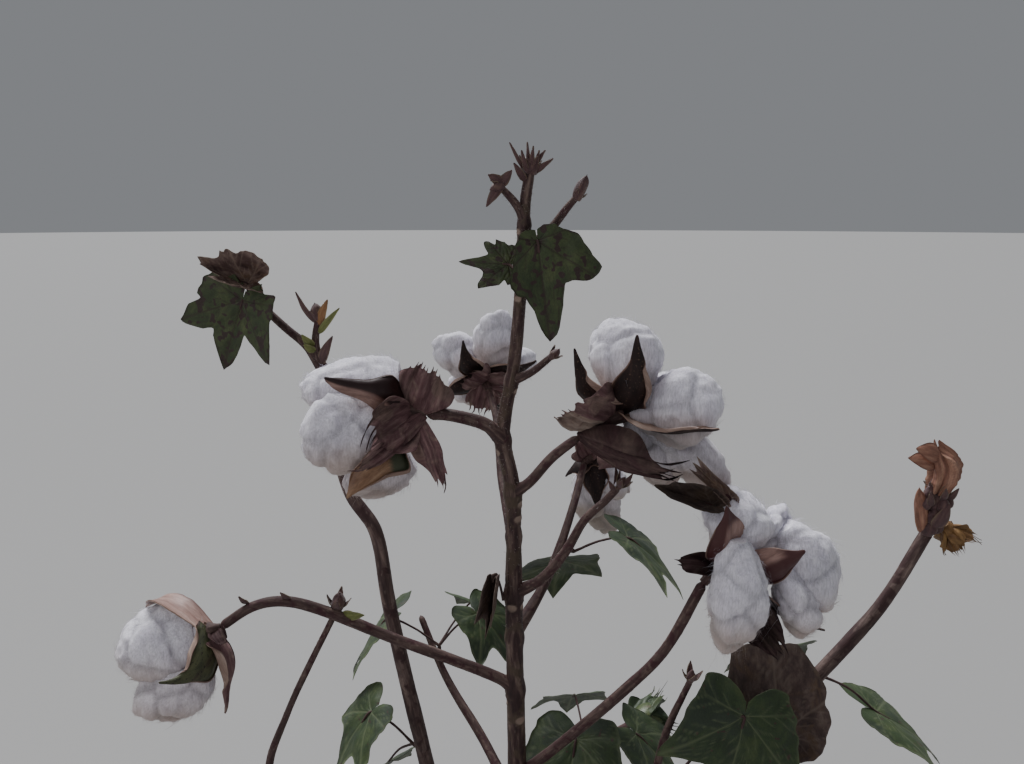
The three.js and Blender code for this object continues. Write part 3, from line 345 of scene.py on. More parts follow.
# The closed boll: foot, the way it points, length, width, count and reach of its bracts, with their width and
# teeth
GREEN_BOLL = ((96, 104, 205.5), (0.6, 0.5, -0.4), 33, 27, 3, 36)
GREEN_BRACT_WIDTH = 30
GREEN_BRACT_TEETH = (9, 0.30)

# The withered flower: foot, direction, length and width of its petals, its buds as above, each with its
# finish, and the count, width and reach forward and outward of the bracts round the last of them
PETALS = ((242, 2, 427), (-0.12, 0, 1), 31, 15)
WITHERED_BUDS = [
    (((242, 2, 427), (-0.12, 0, 1), 10, 9, 5, 11), 1),
    (((236, 1, 406), (-0.2, -0.05, 0.97), 26, 8, 0, 0), 0),
    (((250, 2, 406), (0.66, -0.15, -0.72), 12, 9, 0, 0), 2),
]
HANGING_BRACTS = (5, 14, 16, 9)
HOOKED_PETALS = [((238, -1, 446), (220, -3, 449), 11), ((239, -2, 451), (224, -3, 454.5), 11)]
WITHERED_KNOBS = [((235, -2, 421), 6), ((243, -4, 420), 7), ((248, -1, 421), 5.5), ((240, -1, 412), 9),
                  ((244, 0, 412), 9), ((239, 0, 404), 9), ((243, 2, 405), 9), ((241, 1, 418), 11),
                  ((237, 0, 426), 7)]
WITHERED_SCALES = [((240, -4, 408), (245, -6, 424), 8, 1), ((243, -3, 424), (241, -8, 434), 4, 1),
                   ((246, -1, 423), (250, -5, 433), 4, 1), ((236.5, -4, 421), (233.5, -6, 431), 4, 1)]
WITHERED_LINKS = [((242, 4, 405.8), (242, 3, 428)), ((242, 3, 412), (251, 2, 405))]

# A lobed leaf's outline: degrees from the midrib, and the reach there for a midrib of length 1. Its ribs are
# in degrees too.
LEAF_RIBS = (0, 51, -51, 104, -104)
LEAF_OUTLINE = [(0, 1), (27, 0.6), (51, 0.9), (82, 0.56), (122, 0.5)]

# Leaves with an outline of their own: the same, all the way round. The leaf at the top has one side pulled
# in, the dry ones hang in strips.
TOP_OUTLINE = [(-176, 0.1), (-108, 0.27), (-94, 0.4), (-80, 0.45), (-68, 0.56), (-62, 0.7), (-48, 0.64),
               (-34, 0.53), (-26, 0.5), (-18, 0.57), (-11, 0.76), (-6, 0.93), (0, 1), (4, 0.9), (10, 0.68),
               (20, 0.55), (37, 0.54), (43, 0.47), (51, 0.33), (71, 0.25), (95, 0.2), (176, 0.1)]
STRIP_OUTLINE = [(-176, 0.12), (-90, 0.2), (-50, 0.25), (-30, 0.36), (-19, 0.56), (-14, 0.84), (-12, 0.9),
                 (-9, 0.72), (-4, 0.8), (1, 0.98), (4, 0.76), (9, 0.86), (12, 1.0), (16, 0.62), (26, 0.42),
                 (48, 0.26), (90, 0.2), (176, 0.12)]
CURLED_OUTLINE = [(-176, 0.12), (-110, 0.22), (-62, 0.38), (-34, 0.6), (-20, 0.78), (-12, 0.84), (-3, 0.95),
                  (2, 1), (9, 0.86), (18, 0.8), (34, 0.62), (60, 0.46), (110, 0.26), (176, 0.12)]
BROAD_OUTLINE = [(-176, 0.1), (-112, 0.38), (-75, 0.52), (-48, 0.72), (-30, 0.98), (-24, 1.06), (-17, 0.97),
                 (-8, 1.0), (1, 0.86), (9, 0.9), (17, 0.95), (27, 0.84), (48, 0.62), (75, 0.5), (110, 0.42),
                 (176, 0.1)]
OWN_OUTLINES = {
    ("leaf_top", 0): TOP_OUTLINE, ("leaf_dry_right", 0): STRIP_OUTLINE, ("leaf_dry_right", 1): CURLED_OUTLINE,
    ("leaf_dry_low", 0): BROAD_OUTLINE,
}

# Dried leaves, and a leaf of a green shoot, with how far their edges curl up. Leaves with dark blotches, with
# how much is eaten away. Leaves that are lighter or darker than the usual ones.
DRY_LEAVES = {"leaf_curled_middle": 0.35, "leaf_dry_right": 0.2, "leaf_dry_low": 0.12}
CURLED_LEAVES = {("leaves_left_top", 1): 0.3}
LEAF_BITES = {"leaf_top": 0.0, "leaf_top_left": 0.35, "leaves_left_top": 0.35}
LEAF_TONES = {("leaf_dry_right", 0): 1.7, ("leaf_dry_right", 1): 0.6, ("leaves_left_top", 1): 1.7}

# Hairs: where they start as a share of the length of the wood, and their count
HAIRY_LIMBS = ("fork_left_top", "shoot_left_top", "spur_right_top", "spur_left_top", "spur_right_upper",
               "branch_right_middle", "branch_left_upper")
STEM_HAIRS = (0.42, 900)
LIMB_HAIRS = (0.1, 110)
HAIR_WIDTH = 0.11

# Floor, lights and camera, in metres and radians
FLOOR_RADIUS = 30
FLOOR_SIDES = 96
FLOOR_COLOUR = (0.33, 0.325, 0.32, 1)
WORLD_COLOUR = (0.80, 0.83, 0.88, 1)
WORLD_STRENGTH = 0.27
SUN_PLACE = (-0.35, 0.9, 1.45)
SUN_POWER = 4.1
SUN_SOFTNESS = math.radians(30)
KEY_PLACE = (-1.1, -0.9, 1.4)
KEY_TARGET = (0, 0, 0.42)
KEY_SIZE = 1.2
KEY_POWER = 6
CAMERA_PLACE = (0, -0.412, 0.582)
CAMERA_PITCH = math.radians(12.3)
CAMERA_LENS = 26.96


# Numbers and directions

def unit(v):
    v = np.asarray(v, float)
    return v / np.linalg.norm(v, axis=-1, keepdims=True)


def square_to(v, along):
    """The part of v that stands square to a direction, at length 1"""
    along = unit(along)
    return unit(v - np.sum(v * along, axis=-1, keepdims=True) * along)


def turned(v, axis, angle):
    """v turned about an axis of length 1"""
    upright = axis * np.dot(axis, v) * (1 - math.cos(angle))
    return v * math.cos(angle) + np.cross(axis, v) * math.sin(angle) + upright


def joined(x, y, z):
    """Places from three measures, each spread over the shape of the others"""
    return np.stack(np.broadcast_arrays(x, y, z), axis=-1)


def spoke(ahead, index, count):
    """One of some directions spread evenly round a heading"""
    return turned(unit(np.cross((0, 1, 0.3), ahead)), ahead, 2 * math.pi * index / count)


def mix(a, b, t):
    return a + (b - a) * t


def ease(low, high, value):
    """0 under low, 1 over high and smooth between them"""
    t = np.clip((value - low) / (high - low), 0, 1)
    return t * t * (3 - 2 * t)


def bell(value, width):
    """1 at zero, falling off smoothly to both sides"""
    return np.exp(-((value / width) ** 2))


def lattice(cell, seed):
    """A steady number from 0 to 1 for each cell of a lattice"""
    h = cell[..., 0] * 374761393 + cell[..., 1] * 668265263 + cell[..., 2] * 1442695041 + seed * 974634777
    h = (h ^ ((h >> 13) & 0x7FFFF)) * 1274126177
    h &= 0xFFFFFFFF
    return ((h ^ (h >> 16)) & 0xFFFF) / 65535.0


def noise(places, size, seed=0):
    """Smooth noise from -1 to 1, with lumps of about the given size"""
    q = np.asarray(places, float) / size
    cell = np.floor(q).astype(np.int64)
    f = q - cell
    f = f * f * (3 - 2 * f)
    total = 0
    for corner in np.ndindex(2, 2, 2):
        weight = 1
        for k in range(3):
            weight = weight * (f[..., k] if corner[k] else 1 - f[..., k])
        total = total + weight * lattice(cell + np.array(corner), seed)
    return 2 * total - 1


def rough(places, size, octaves, seed=0):
    """Noise with finer noise on it, each octave half as large and half as strong"""
    return sum(noise(places, size / 2 ** k, seed + 7 * k) / 2 ** k for k in range(octaves))


def sheet_noise(a, b, size, seed, layer=0):
    """Smooth noise over two measures of a sheet, with several layers for each seed"""
    return noise(joined(a, b, float(seed)), size, seed + layer)


def seeded(seed):
    """Numbers between 0 and 1 that are the same in every run"""
    state = [(seed * 2654435761 + 97) & 0xFFFFFFFF]

    def draw():
        state[0] = ((state[0] ^ (state[0] >> 15)) * 2246822519 + 3266489917) & 0xFFFFFFFF
        return (state[0] ^ (state[0] >> 13)) / 2 ** 32
    return draw


# Curves and frames

def smooth_places(path, shares):
    """Places at the given shares of a smooth centripetal curve through a path"""
    p = np.asarray(path, float)
    p = np.vstack([2 * p[0] - p[1], p, 2 * p[-1] - p[-2]])
    at = np.clip(np.asarray(shares, float), 0, 1) * (len(p) - 3)
    k = np.minimum(at.astype(int), len(p) - 4)
    t = (at - k)[:, None]
    x0, x1, x2, x3 = (p[k + i] for i in range(4))
    pairs = ((x0, x1), (x1, x2), (x2, x3))
    d0, d1, d2 = (np.sqrt(np.linalg.norm(b - a, axis=1, keepdims=True)) for a, b in pairs)
    t1 = d1 * ((x1 - x0) / d0 - (x2 - x0) / (d0 + d1) + (x2 - x1) / d1)
    t2 = d1 * ((x2 - x1) / d1 - (x3 - x1) / (d1 + d2) + (x3 - x2) / d2)
    return x1 + t * (t1 + t * (-3 * x1 + 3 * x2 - 2 * t1 - t2 + t * (2 * x1 - 2 * x2 + t1 + t2)))


def run_along(places):
    """The length run from the first place to each"""
    return np.concatenate([[0], np.cumsum(np.linalg.norm(np.diff(places, axis=0), axis=1))])


def evenly(path, step):
    """Evenly spaced places along a path, with the share of the path and the length run at each"""
    shares = np.linspace(0, 1, 40 * len(path))
    run = run_along(smooth_places(path, shares))
    even = np.linspace(0, run[-1], max(4, int(run[-1] / step) + 1))
    shares = np.interp(even, run, shares)
    return smooth_places(path, shares), shares, even


def carried_frames(places):
    """Directions ahead, sideways and across at each place, with no twist along the way"""
    ahead = unit(np.gradient(places, axis=0))
    side = np.array([1, 0.2, 0.1])
    sides = []
    for a in ahead:
        side = square_to(side, a)
        sides.append(side)
    sides = np.array(sides)
    return ahead, sides, np.cross(ahead, sides)


def frame_of(hub, tip, back):
    """Along a piece from its foot to its tip, out of its back, and across it"""
    along = np.asarray(tip, float) - hub
    out = square_to(np.asarray(back, float), along)
    return along, out, unit(np.cross(out, along))


# Gathering a mesh

def place_in_scene(name, data):
    """A new object in the scene that shows some data"""
    placed = bpy.data.objects.new(name, data)
    bpy.context.scene.collection.objects.link(placed)
    return placed


class Shape:
    """Points and faces gathered for one mesh, with what its finish reads at each point"""

    def __init__(self):
        self.count = 0
        self.points, self.flow, self.mark, self.shade = [], [], [], []
        self.faces, self.kinds = [], []

    def add(self, points, faces, kind=0, flow=None, mark=0, shade=1):
        points = np.asarray(points, float).reshape(-1, 3)
        number = len(points)
        self.points.append(points)
        self.flow.append(points if flow is None else np.asarray(flow, float).reshape(-1, 3))
        self.mark.append(np.broadcast_to(np.asarray(mark, float).ravel(), number))
        self.shade.append(np.broadcast_to(np.asarray(shade, float).ravel(), number))
        self.faces.append(np.asarray(faces) + self.count)
        self.kinds.append(np.full(len(faces), kind))
        self.count += number

    def make_mesh(self, name):
        """The mesh, in metres"""
        mesh = bpy.data.meshes.new(name)
        points = np.concatenate(self.points) * MM
        sizes = np.concatenate([np.full(len(f), f.shape[1]) for f in self.faces])
        loops = np.concatenate([f.ravel() for f in self.faces])
        starts = np.concatenate([[0], np.cumsum(sizes)[:-1]])
        mesh.vertices.add(len(points))
        mesh.vertices.foreach_set("co", points.ravel())
        mesh.loops.add(len(loops))
        mesh.loops.foreach_set("vertex_index", loops.astype(np.int32))
        mesh.polygons.add(len(sizes))
        mesh.polygons.foreach_set("loop_start", starts.astype(np.int32))
        mesh.polygons.foreach_set("material_index", np.concatenate(self.kinds).astype(np.int32))
        mesh.polygons.foreach_set("use_smooth", np.full(len(sizes), True))
        mesh.update(calc_edges=True)
        flow = mesh.attributes.new("flow", "FLOAT_VECTOR", "POINT")
        flow.data.foreach_set("vector", np.concatenate(self.flow).ravel())
        for label, values in (("mark", self.mark), ("shade", self.shade)):
            measure = mesh.attributes.new(label, "FLOAT", "POINT")
            measure.data.foreach_set("value", np.concatenate(values))
        return mesh

    def finish(self, name, materials, nodes, slot):
        """Make the object, riding on the plant and standing for the given nodes"""
        mesh = self.make_mesh(name)
        for material in materials:
            mesh.materials.append(material)
        piece = place_in_scene(name, mesh)
        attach(piece, BODY)
        if nodes:
            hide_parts(*nodes)


def grid_faces(rows, columns, closed=False):
    """Faces of a grid of points, row after row"""
    i, j = np.meshgrid(np.arange(rows - 1), np.arange(columns if closed else columns - 1), indexing="ij")
    i, j = i.ravel(), j.ravel()
    k = (j + 1) % columns
    return np.stack([i * columns + j, i * columns + k, (i + 1) * columns + k, (i + 1) * columns + j], axis=1)


def add_cap(shape, rim, middle, first, kind=0, flow=None):
    """Close the first or last ring of a rod with faces round its middle"""
    sides = len(rim)
    at = np.arange(sides)
    after = np.roll(at, -1)
    pair = (after, at) if first else (at, after)
    faces = np.stack([*pair, np.full(sides, sides)], axis=1)
    shape.add(np.concatenate([rim, middle[None]]), faces, kind, flow)


def add_tube(shape, places, radii, sides, kind=0, relief=None, mark=None, upright=False):
    """A round closed rod. relief and mark take the place on the rod as flow coordinates."""
    ahead, side, other = carried_frames(places)
    if upright:
        ahead[0] = (0, 0, 1)
        side[0] = square_to(side[0], ahead[0])
        other[0] = np.cross(ahead[0], side[0])
    rows = len(places)
    angle = np.arange(sides) * 2 * np.pi / sides
    radius = np.broadcast_to(np.asarray(radii, float)[:, None], (rows, sides))
    run = run_along(places)
    flow = joined(radius * np.cos(angle), radius * np.sin(angle), run[:, None])
    grown = radius + (relief(flow) if relief else 0)
    spread = side[:, None] * np.cos(angle)[None, :, None] + other[:, None] * np.sin(angle)[None, :, None]
    points = places[:, None] + spread * grown[..., None]
    shape.add(points, grid_faces(rows, sides, True), kind, flow, mark(flow) if mark else 0)
    for row in (0, rows - 1):
        end_flow = np.concatenate([flow[row], [[0, 0, run[row]]]])
        add_cap(shape, points[row], places[row], row == 0, kind, end_flow)


def grooves(depth, size, stretch, seed=0):
    """The relief of a rod with long grooves"""
    return lambda flow: depth * noise(flow * (1, 1, stretch), size, seed)


def add_plate(shape, grid, thickness, kinds=(0, 0), flow=None, mark=0, shade=1, thin=None, rim=None):
    """A thin closed plate on both sides of a grid of points. thin is the share of the thickness at each point
    and rim is the finish of its edge, where that isn't the first one."""
    rows, columns = grid.shape[:2]
    normal = np.cross(np.gradient(grid, axis=0), np.gradient(grid, axis=1))
    normal = normal / (np.linalg.norm(normal, axis=-1, keepdims=True) + 1e-9)
    half = thickness / 2 * (np.ones((rows, columns)) if thin is None else thin)
    faces = grid_faces(rows, columns)
    flow = grid if flow is None else flow
    shape.add(grid + normal * half[..., None], faces[:, ::-1], kinds[0], flow, mark, shade)
    shape.add(grid - normal * half[..., None], faces, kinds[1], flow, mark, shade)
    under = rows * columns
    edge = np.concatenate([
        np.arange(rows - 1) * columns,
        (rows - 1) * columns + np.arange(columns - 1),
        np.arange(rows - 1, 0, -1) * columns + columns - 1,
        np.arange(columns - 1, 0, -1),
    ])
    after = np.roll(edge, -1)
    wall = np.stack([edge, after, after + under, edge + under], axis=1)
    shape.faces.append(wall + shape.count - 2 * under)
    shape.kinds.append(np.full(len(wall), kinds[0] if rim is None else rim))


def add_strands(shape, start, heading, bend, length, width, mark=0):
    """Many fine strands: flat strips from a start, along a heading, bent towards another direction"""
    number = len(start)
    share = np.linspace(0, 1, STRAND_PIECES + 1)
    reach = length[:, None] * share
    line = start[:, None] + heading[:, None] * reach[..., None] + bend[:, None] * (reach * share)[..., None]
    side = unit(np.cross(heading, bend) + 1e-6)
    half = np.broadcast_to(np.asarray(width, float), number)[:, None] / 2 * (1 - 0.75 * share ** 2)
    off = side[:, None] * half[..., None]
    points = np.stack([line - off, line + off], axis=2)
    first = np.arange(number)[:, None] * 2 * (STRAND_PIECES + 1) + np.arange(STRAND_PIECES) * 2
    first = first.ravel()
    shape.add(points, np.stack([first, first + 1, first + 3, first + 2], axis=1), mark=mark)


# Finishes

def link_value(tree, kind, inputs, **settings):
    """A node with some sockets set to numbers or linked to others"""
    node = tree.nodes.new(kind)
    for key, value in settings.items():
        setattr(node, key, value)
    for key, value in inputs.items():
        socket = node.inputs[key]
        if isinstance(value, bpy.types.NodeSocket):
            tree.links.new(value, socket)
        else:
            socket.default_value = value
    return node


def blend_colour(tree, how, amount, first, second):
    inputs = {0: amount, 6: first, 7: second}
    return link_value(tree, "ShaderNodeMix", inputs, data_type="RGBA", blend_type=how).outputs[2]


def ranged(tree, value, **limits):
    """A value taken from one range to another"""
    inputs = {key.replace("_", " "): limit for key, limit in limits.items()}
    return link_value(tree, "ShaderNodeMapRange", {"Value": value, **inputs}).outputs[0]


def measured(tree, label, socket="Fac"):
    """What the mesh holds under a label"""
    return link_value(tree, "ShaderNodeAttribute", {}, attribute_name=label).outputs[socket]


def steps(tree, value, stops):
    """A smooth scale of colours over a value"""
    node = link_value(tree, "ShaderNodeValToRGB", {0: value})
    ramp = node.color_ramp
    while len(ramp.elements) < len(stops):
        ramp.elements.new(0.5)
    for element, (place, colour) in zip(ramp.elements, stops):
        element.position = place
        element.color = (*colour, 1)
    return node.outputs[0]


def grain(tree, size, stretch, detail=5.0, roughness=0.6, warp=0.0):
    """Noise over the flow of a surface. size is in millimetres, stretch is how much longer the grain runs."""
    inputs = {"Vector": measured(tree, "flow", "Vector"), "Scale": (1 / size, 1 / size, 1 / size / stretch)}
    scaled = link_value(tree, "ShaderNodeMapping", inputs).outputs[0]
    inputs = {"Vector": scaled, "Scale": 1.0, "Detail": detail, "Roughness": roughness, "Distortion": warp}
    return link_value(tree, "ShaderNodeTexNoise", inputs).outputs["Fac"]


def spotted(tree, colour, size, threshold, shade):
    """A colour with small spots of another shade"""
    dots = ranged(tree, grain(tree, size, 1.0, 1.0, 0.4), From_Min=threshold, From_Max=threshold + 0.03)
    return blend_colour(tree, "MIX", dots, colour, (*shade, 1))


def finish(name, stops, mark=(0.5, 0.4, 0.35), patch=None, coarse=6.0, fine=0.8, stretch=4.0, rough=0.75,
           bump=0.4, spots=None, **surface):
    """A plant surface: a scale of colours over coarse grain, a mark colour by place, finer bump, and spots"""
    material = bpy.data.materials.new(name)
    material.use_nodes = True
    tree = material.node_tree
    shader = tree.nodes["Principled BSDF"]
    thin = grain(tree, fine, stretch, 5.0, 0.65)
    colour = steps(tree, grain(tree, coarse, stretch, 4.0, 0.55, 0.3), stops)
    if patch:
        amount = ranged(tree, grain(tree, coarse * 3.1, 1.0, 3.0, 0.6, 0.6), From_Min=0.5, From_Max=0.62)
        colour = blend_colour(tree, "MIX", amount, colour, (*patch, 1))
    streak = ranged(tree, thin, From_Min=0.3, From_Max=0.7, To_Min=0.72, To_Max=1.25)
    colour = blend_colour(tree, "MULTIPLY", 1.0, colour, streak)
    if spots:
        colour = spotted(tree, colour, *spots)
    # Mark colour by place, and the shade attribute multiplied in: on the lint and in the hollows of the
    # bracts these carry painted shade, elsewhere real marks and tone
    colour = blend_colour(tree, "MIX", measured(tree, "mark"), colour, (*mark, 1))
    colour = blend_colour(tree, "MULTIPLY", 1.0, colour, measured(tree, "shade"))
    tree.links.new(colour, shader.inputs["Base Color"])
    gloss = ranged(tree, thin, To_Min=rough - 0.12, To_Max=rough + 0.15)
    tree.links.new(gloss, shader.inputs["Roughness"])
    raised = link_value(tree, "ShaderNodeBump", {"Height": thin, "Strength": bump, "Distance": 0.0004})
    tree.links.new(raised.outputs[0], shader.inputs["Normal"])
    for key, value in surface.items():
        shader.inputs[key.replace("_", " ")].default_value = value
    return material


BARK = finish(
    "bark_red", [(0.25, (0.020, 0.010, 0.011)), (0.48, (0.062, 0.033, 0.032)), (0.7, (0.20, 0.14, 0.115))],
    mark=(0.34, 0.25, 0.20), patch=(0.085, 0.058, 0.042), coarse=3.5, fine=0.5, stretch=7.0, rough=0.62,
    bump=0.6, Specular_IOR_Level=0.3)
SIDE_BARK = finish(
    "bark_side", [(0.25, (0.030, 0.016, 0.017)), (0.5, (0.105, 0.066, 0.060)), (0.75, (0.25, 0.18, 0.155))],
    mark=(0.40, 0.31, 0.26), patch=(0.060, 0.030, 0.030), coarse=3.2, fine=0.5, stretch=8.0, rough=0.62,
    bump=0.6, Specular_IOR_Level=0.3)
TWIG_BARK = finish(
    "bark_twig", [(0.25, (0.030, 0.015, 0.016)), (0.5, (0.085, 0.050, 0.046)), (0.75, (0.19, 0.13, 0.11))],
    mark=(0.36, 0.27, 0.22), patch=(0.062, 0.024, 0.028), coarse=2.6, fine=0.4, stretch=8.0, rough=0.66,
    bump=0.5, Specular_IOR_Level=0.3)
VALVE_OUT = finish(
    "valve_outside",
    [(0.3, (0.011, 0.006, 0.006)), (0.55, (0.026, 0.013, 0.012)), (0.8, (0.070, 0.036, 0.030))],
    mark=(0.17, 0.10, 0.075), coarse=5.0, fine=0.6, stretch=3.0, rough=0.6, bump=0.6,
    spots=(1.1, 0.66, (0.10, 0.06, 0.04)), Specular_IOR_Level=0.3)
VALVE_GREEN = finish(
    "valve_outside_green",
    [(0.3, (0.034, 0.036, 0.018)), (0.55, (0.085, 0.090, 0.038)), (0.8, (0.18, 0.175, 0.080))],
    mark=(0.050, 0.018, 0.017), patch=(0.045, 0.024, 0.018), coarse=6.0, fine=0.6, stretch=2.0, rough=0.55,
    bump=0.6, spots=(1.3, 0.64, (0.018, 0.010, 0.008)))
VALVE_IN = finish(
    "valve_inside", [(0.3, (0.19, 0.115, 0.088)), (0.55, (0.34, 0.23, 0.185)), (0.8, (0.50, 0.38, 0.32))],
    mark=(0.10, 0.045, 0.032), coarse=4.0, fine=0.5, stretch=6.0, rough=0.5, bump=0.3, Specular_IOR_Level=0.5)
VALVE_FOLD = finish(
    "valve_fold", [(0.3, (0.19, 0.10, 0.080)), (0.55, (0.36, 0.22, 0.185)), (0.8, (0.54, 0.39, 0.335))],
    mark=(0.062, 0.013, 0.013), coarse=4.0, fine=0.5, stretch=6.0, rough=0.5, bump=0.3)
VALVE_ORANGE = finish(
    "valve_orange", [(0.3, (0.15, 0.066, 0.036)), (0.55, (0.28, 0.155, 0.086)), (0.8, (0.42, 0.28, 0.175))],
    mark=(0.050, 0.056, 0.028), coarse=4.0, fine=0.5, stretch=4.0, rough=0.5, bump=0.4)
BRACT = finish(
    "bract_dry", [(0.25, (0.080, 0.036, 0.041)), (0.5, (0.19, 0.105, 0.108)), (0.78, (0.38, 0.26, 0.235))],
    mark=(0.040, 0.015, 0.018), patch=(0.28, 0.19, 0.165), coarse=4.0, fine=0.55, stretch=6.0, rough=0.72,
    bump=0.6, Specular_IOR_Level=0.15)
BRACT_PALE = finish(
    "bract_pale", [(0.25, (0.15, 0.095, 0.078)), (0.5, (0.29, 0.205, 0.165)), (0.78, (0.45, 0.35, 0.29))],
    mark=(0.055, 0.026, 0.022), patch=(0.15, 0.085, 0.070), coarse=4.0, fine=0.55, stretch=6.0, rough=0.72,
    bump=0.6, Sheen_Weight=0.1)
# The lint's lavender-white stops carry a cool tint that stands in for sky light: painted light
# The lint's mark colour is the beige of its stained undersides, laid on partly as painted shade
LINT = finish(
    "lint", [(0.2, (0.67, 0.64, 0.74)), (0.55, (0.83, 0.805, 0.89)), (0.85, (0.91, 0.89, 0.96))],
    mark=(0.44, 0.32, 0.255), coarse=9.0, fine=0.9, stretch=5.0, rough=0.9, bump=0.3, Sheen_Weight=0.4,
    Sheen_Roughness=0.6, Subsurface_Weight=0.3, Subsurface_Scale=0.004, Subsurface_Radius=(1.0, 0.95, 0.95))
LEAF = finish(
    "leaf_green", [(0.25, (0.013, 0.026, 0.008)), (0.5, (0.029, 0.052, 0.015)), (0.8, (0.066, 0.090, 0.027))],
    mark=(0.12, 0.145, 0.07), patch=(0.022, 0.037, 0.018), coarse=9.0, fine=0.8, stretch=1.5, rough=0.55,
    bump=0.5, spots=(3.4, 0.70, (0.045, 0.024, 0.016)))
LEAF_EATEN = finish(
    "leaf_blotched",
    [(0.25, (0.022, 0.034, 0.011)), (0.5, (0.044, 0.062, 0.020)), (0.8, (0.090, 0.110, 0.038))],
    mark=(0.030, 0.015, 0.012), coarse=7.0, fine=0.8, stretch=1.4, rough=0.55, bump=0.6,
    spots=(4.6, 0.575, (0.036, 0.018, 0.015)))
LEAF_DRY = finish(
    "leaf_dried", [(0.25, (0.035, 0.018, 0.017)), (0.5, (0.085, 0.052, 0.046)), (0.8, (0.19, 0.14, 0.115))],
    mark=(0.20, 0.15, 0.12), patch=(0.11, 0.066, 0.042), coarse=6.0, fine=0.7, stretch=2.0, rough=0.75,
    bump=0.7)
BUD = finish(
    "bud_scale", [(0.25, (0.040, 0.015, 0.019)), (0.5, (0.090, 0.040, 0.040)), (0.8, (0.19, 0.12, 0.085))],
    mark=(0.26, 0.20, 0.11), coarse=3.0, fine=0.5, stretch=5.0, rough=0.65, bump=0.5, Sheen_Weight=0.2)
PETAL = finish(
    "petal_dried", [(0.25, (0.14, 0.054, 0.036)), (0.5, (0.30, 0.140, 0.092)), (0.8, (0.56, 0.34, 0.235))],
    mark=(0.11, 0.038, 0.032), coarse=4.0, fine=0.6, stretch=6.0, rough=0.6, bump=0.7)
GOLD = finish(
    "bract_golden", [(0.25, (0.10, 0.042, 0.014)), (0.5, (0.20, 0.10, 0.032)), (0.8, (0.40, 0.23, 0.085))],
    mark=(0.10, 0.040, 0.018), coarse=3.0, fine=0.5, stretch=6.0, rough=0.6, bump=0.6)
FRUIT = finish(
    "boll_green", [(0.25, (0.032, 0.050, 0.016)), (0.5, (0.056, 0.084, 0.026)), (0.8, (0.11, 0.125, 0.046))],
    mark=(0.085, 0.035, 0.030), patch=(0.085, 0.050, 0.035), coarse=7.0, fine=0.7, stretch=1.5, rough=0.4,
    bump=0.25, spots=(1.2, 0.66, (0.020, 0.020, 0.010)))
SPROUT = finish(
    "leaf_sprout", [(0.25, (0.075, 0.085, 0.022)), (0.5, (0.15, 0.165, 0.045)), (0.8, (0.30, 0.30, 0.11))],
    mark=(0.40, 0.36, 0.20), coarse=3.0, fine=0.5, stretch=3.0, rough=0.6, bump=0.5)
SCALE_ORANGE = finish(
    "bud_scale_orange", [(0.25, (0.12, 0.045, 0.018)), (0.5, (0.26, 0.12, 0.045)), (0.8, (0.42, 0.26, 0.12))],
    mark=(0.40, 0.34, 0.16), coarse=3.0, fine=0.5, stretch=4.0, rough=0.6, bump=0.5)
HAIR = finish("hair_pale", [(0.3, (0.36, 0.32, 0.30)), (0.7, (0.50, 0.45, 0.42))], rough=0.6, bump=0.1,
              Sheen_Weight=0.3)
BUD_FINISHES = [BUD, SPROUT, SCALE_ORANGE]


# Stems and limbs

def joints_of(path):
    """For each limb that starts on a path: how far along it starts, and the way it leaves"""
    places, _, run = evenly(path, 1.0)
    found = []
    for other, _ in LIMBS.values():
        start = np.array(other[0], float)
        gaps = np.linalg.norm(places - start, axis=1)
        nearest = int(np.argmin(gaps))
        if gaps[nearest] < JOINT_REACH and 4 < run[nearest] < run[-1] - 2:
            found.append((run[nearest], unit(np.array(other[1], float) - start)))
    return found


def bark_relief(radii, run, frames, joints, seed, depth, scars):
    """Ridges along the bark, a swollen ring and a leaf scar under each joint, and small raised pores"""
    rng = np.random.default_rng(seed)
    pores = rng.uniform([0, 0], [run[-1], 2 * np.pi], (int(run[-1] / PORE_GAP), 2))
    _, side, other = frames

    def row_at(at):
        return int(np.argmin(np.abs(run - at)))

    def turn_of(at, way):
        k = row_at(at)
        return math.atan2(np.dot(way, other[k]), np.dot(way, side[k]))

    marks = [(at - 1.5 * radii[row_at(at)], turn_of(at, way)) for at, way in joints]
    marks += [(at, turn_of(at, way)) for at, way in scars]

    def relief(flow):
        radius = np.hypot(flow[..., 0], flow[..., 1])
        along = flow[..., 2]
        ridged = flow * (1, 1, 0.13)
        out = depth * (1.0 * noise(ridged, 2.4, seed) + 0.5 * noise(ridged * (1, 1, 1.7), 1.1, seed + 1))
        out = out + 0.35 * depth * noise(flow, 0.9, seed + 2) + 0.05 * radius * noise(flow * 0.3, 6, seed + 3)
        for at, _ in joints:
            out = out + 0.22 * radius * bell(along - at + 1, 0.9 * radius)
            out = out - 0.05 * radius * bell(along - at - 1.2 * radius, 0.8)
        return out + scar_field(flow, radius, marks)[0] + pore_field(flow, radius, pores)

    def mark(flow):
        radius = np.hypot(flow[..., 0], flow[..., 1])
        pale = scar_field(flow, radius, marks)[1] + 2.4 * pore_field(flow, radius, pores)
        return np.clip(pale, 0, 1)

    return relief, mark


def turn_between(angle, turn):
    """The turn from one angle to another, from minus half a turn to half a turn"""
    return np.mod(angle - turn + np.pi, 2 * np.pi) - np.pi


def scar_field(flow, radius, marks):
    """Leaf scars: a raised rim with a sunk round middle. Gives the height and how pale it is."""
    angle = np.arctan2(flow[..., 1], flow[..., 0])
    height = np.zeros(radius.shape)
    pale = np.zeros(radius.shape)
    for at, turn in marks:
        size = 0.55 * radius + 0.4
        gap = np.hypot(radius * turn_between(angle, turn) / size, (flow[..., 2] - at) / (0.8 * size))
        height += 0.45 * bell(gap - 0.95, 0.3) - 0.3 * bell(gap, 0.6)
        pale += 0.85 * (1 - ease(0.7, 1.05, gap))
    return height, pale


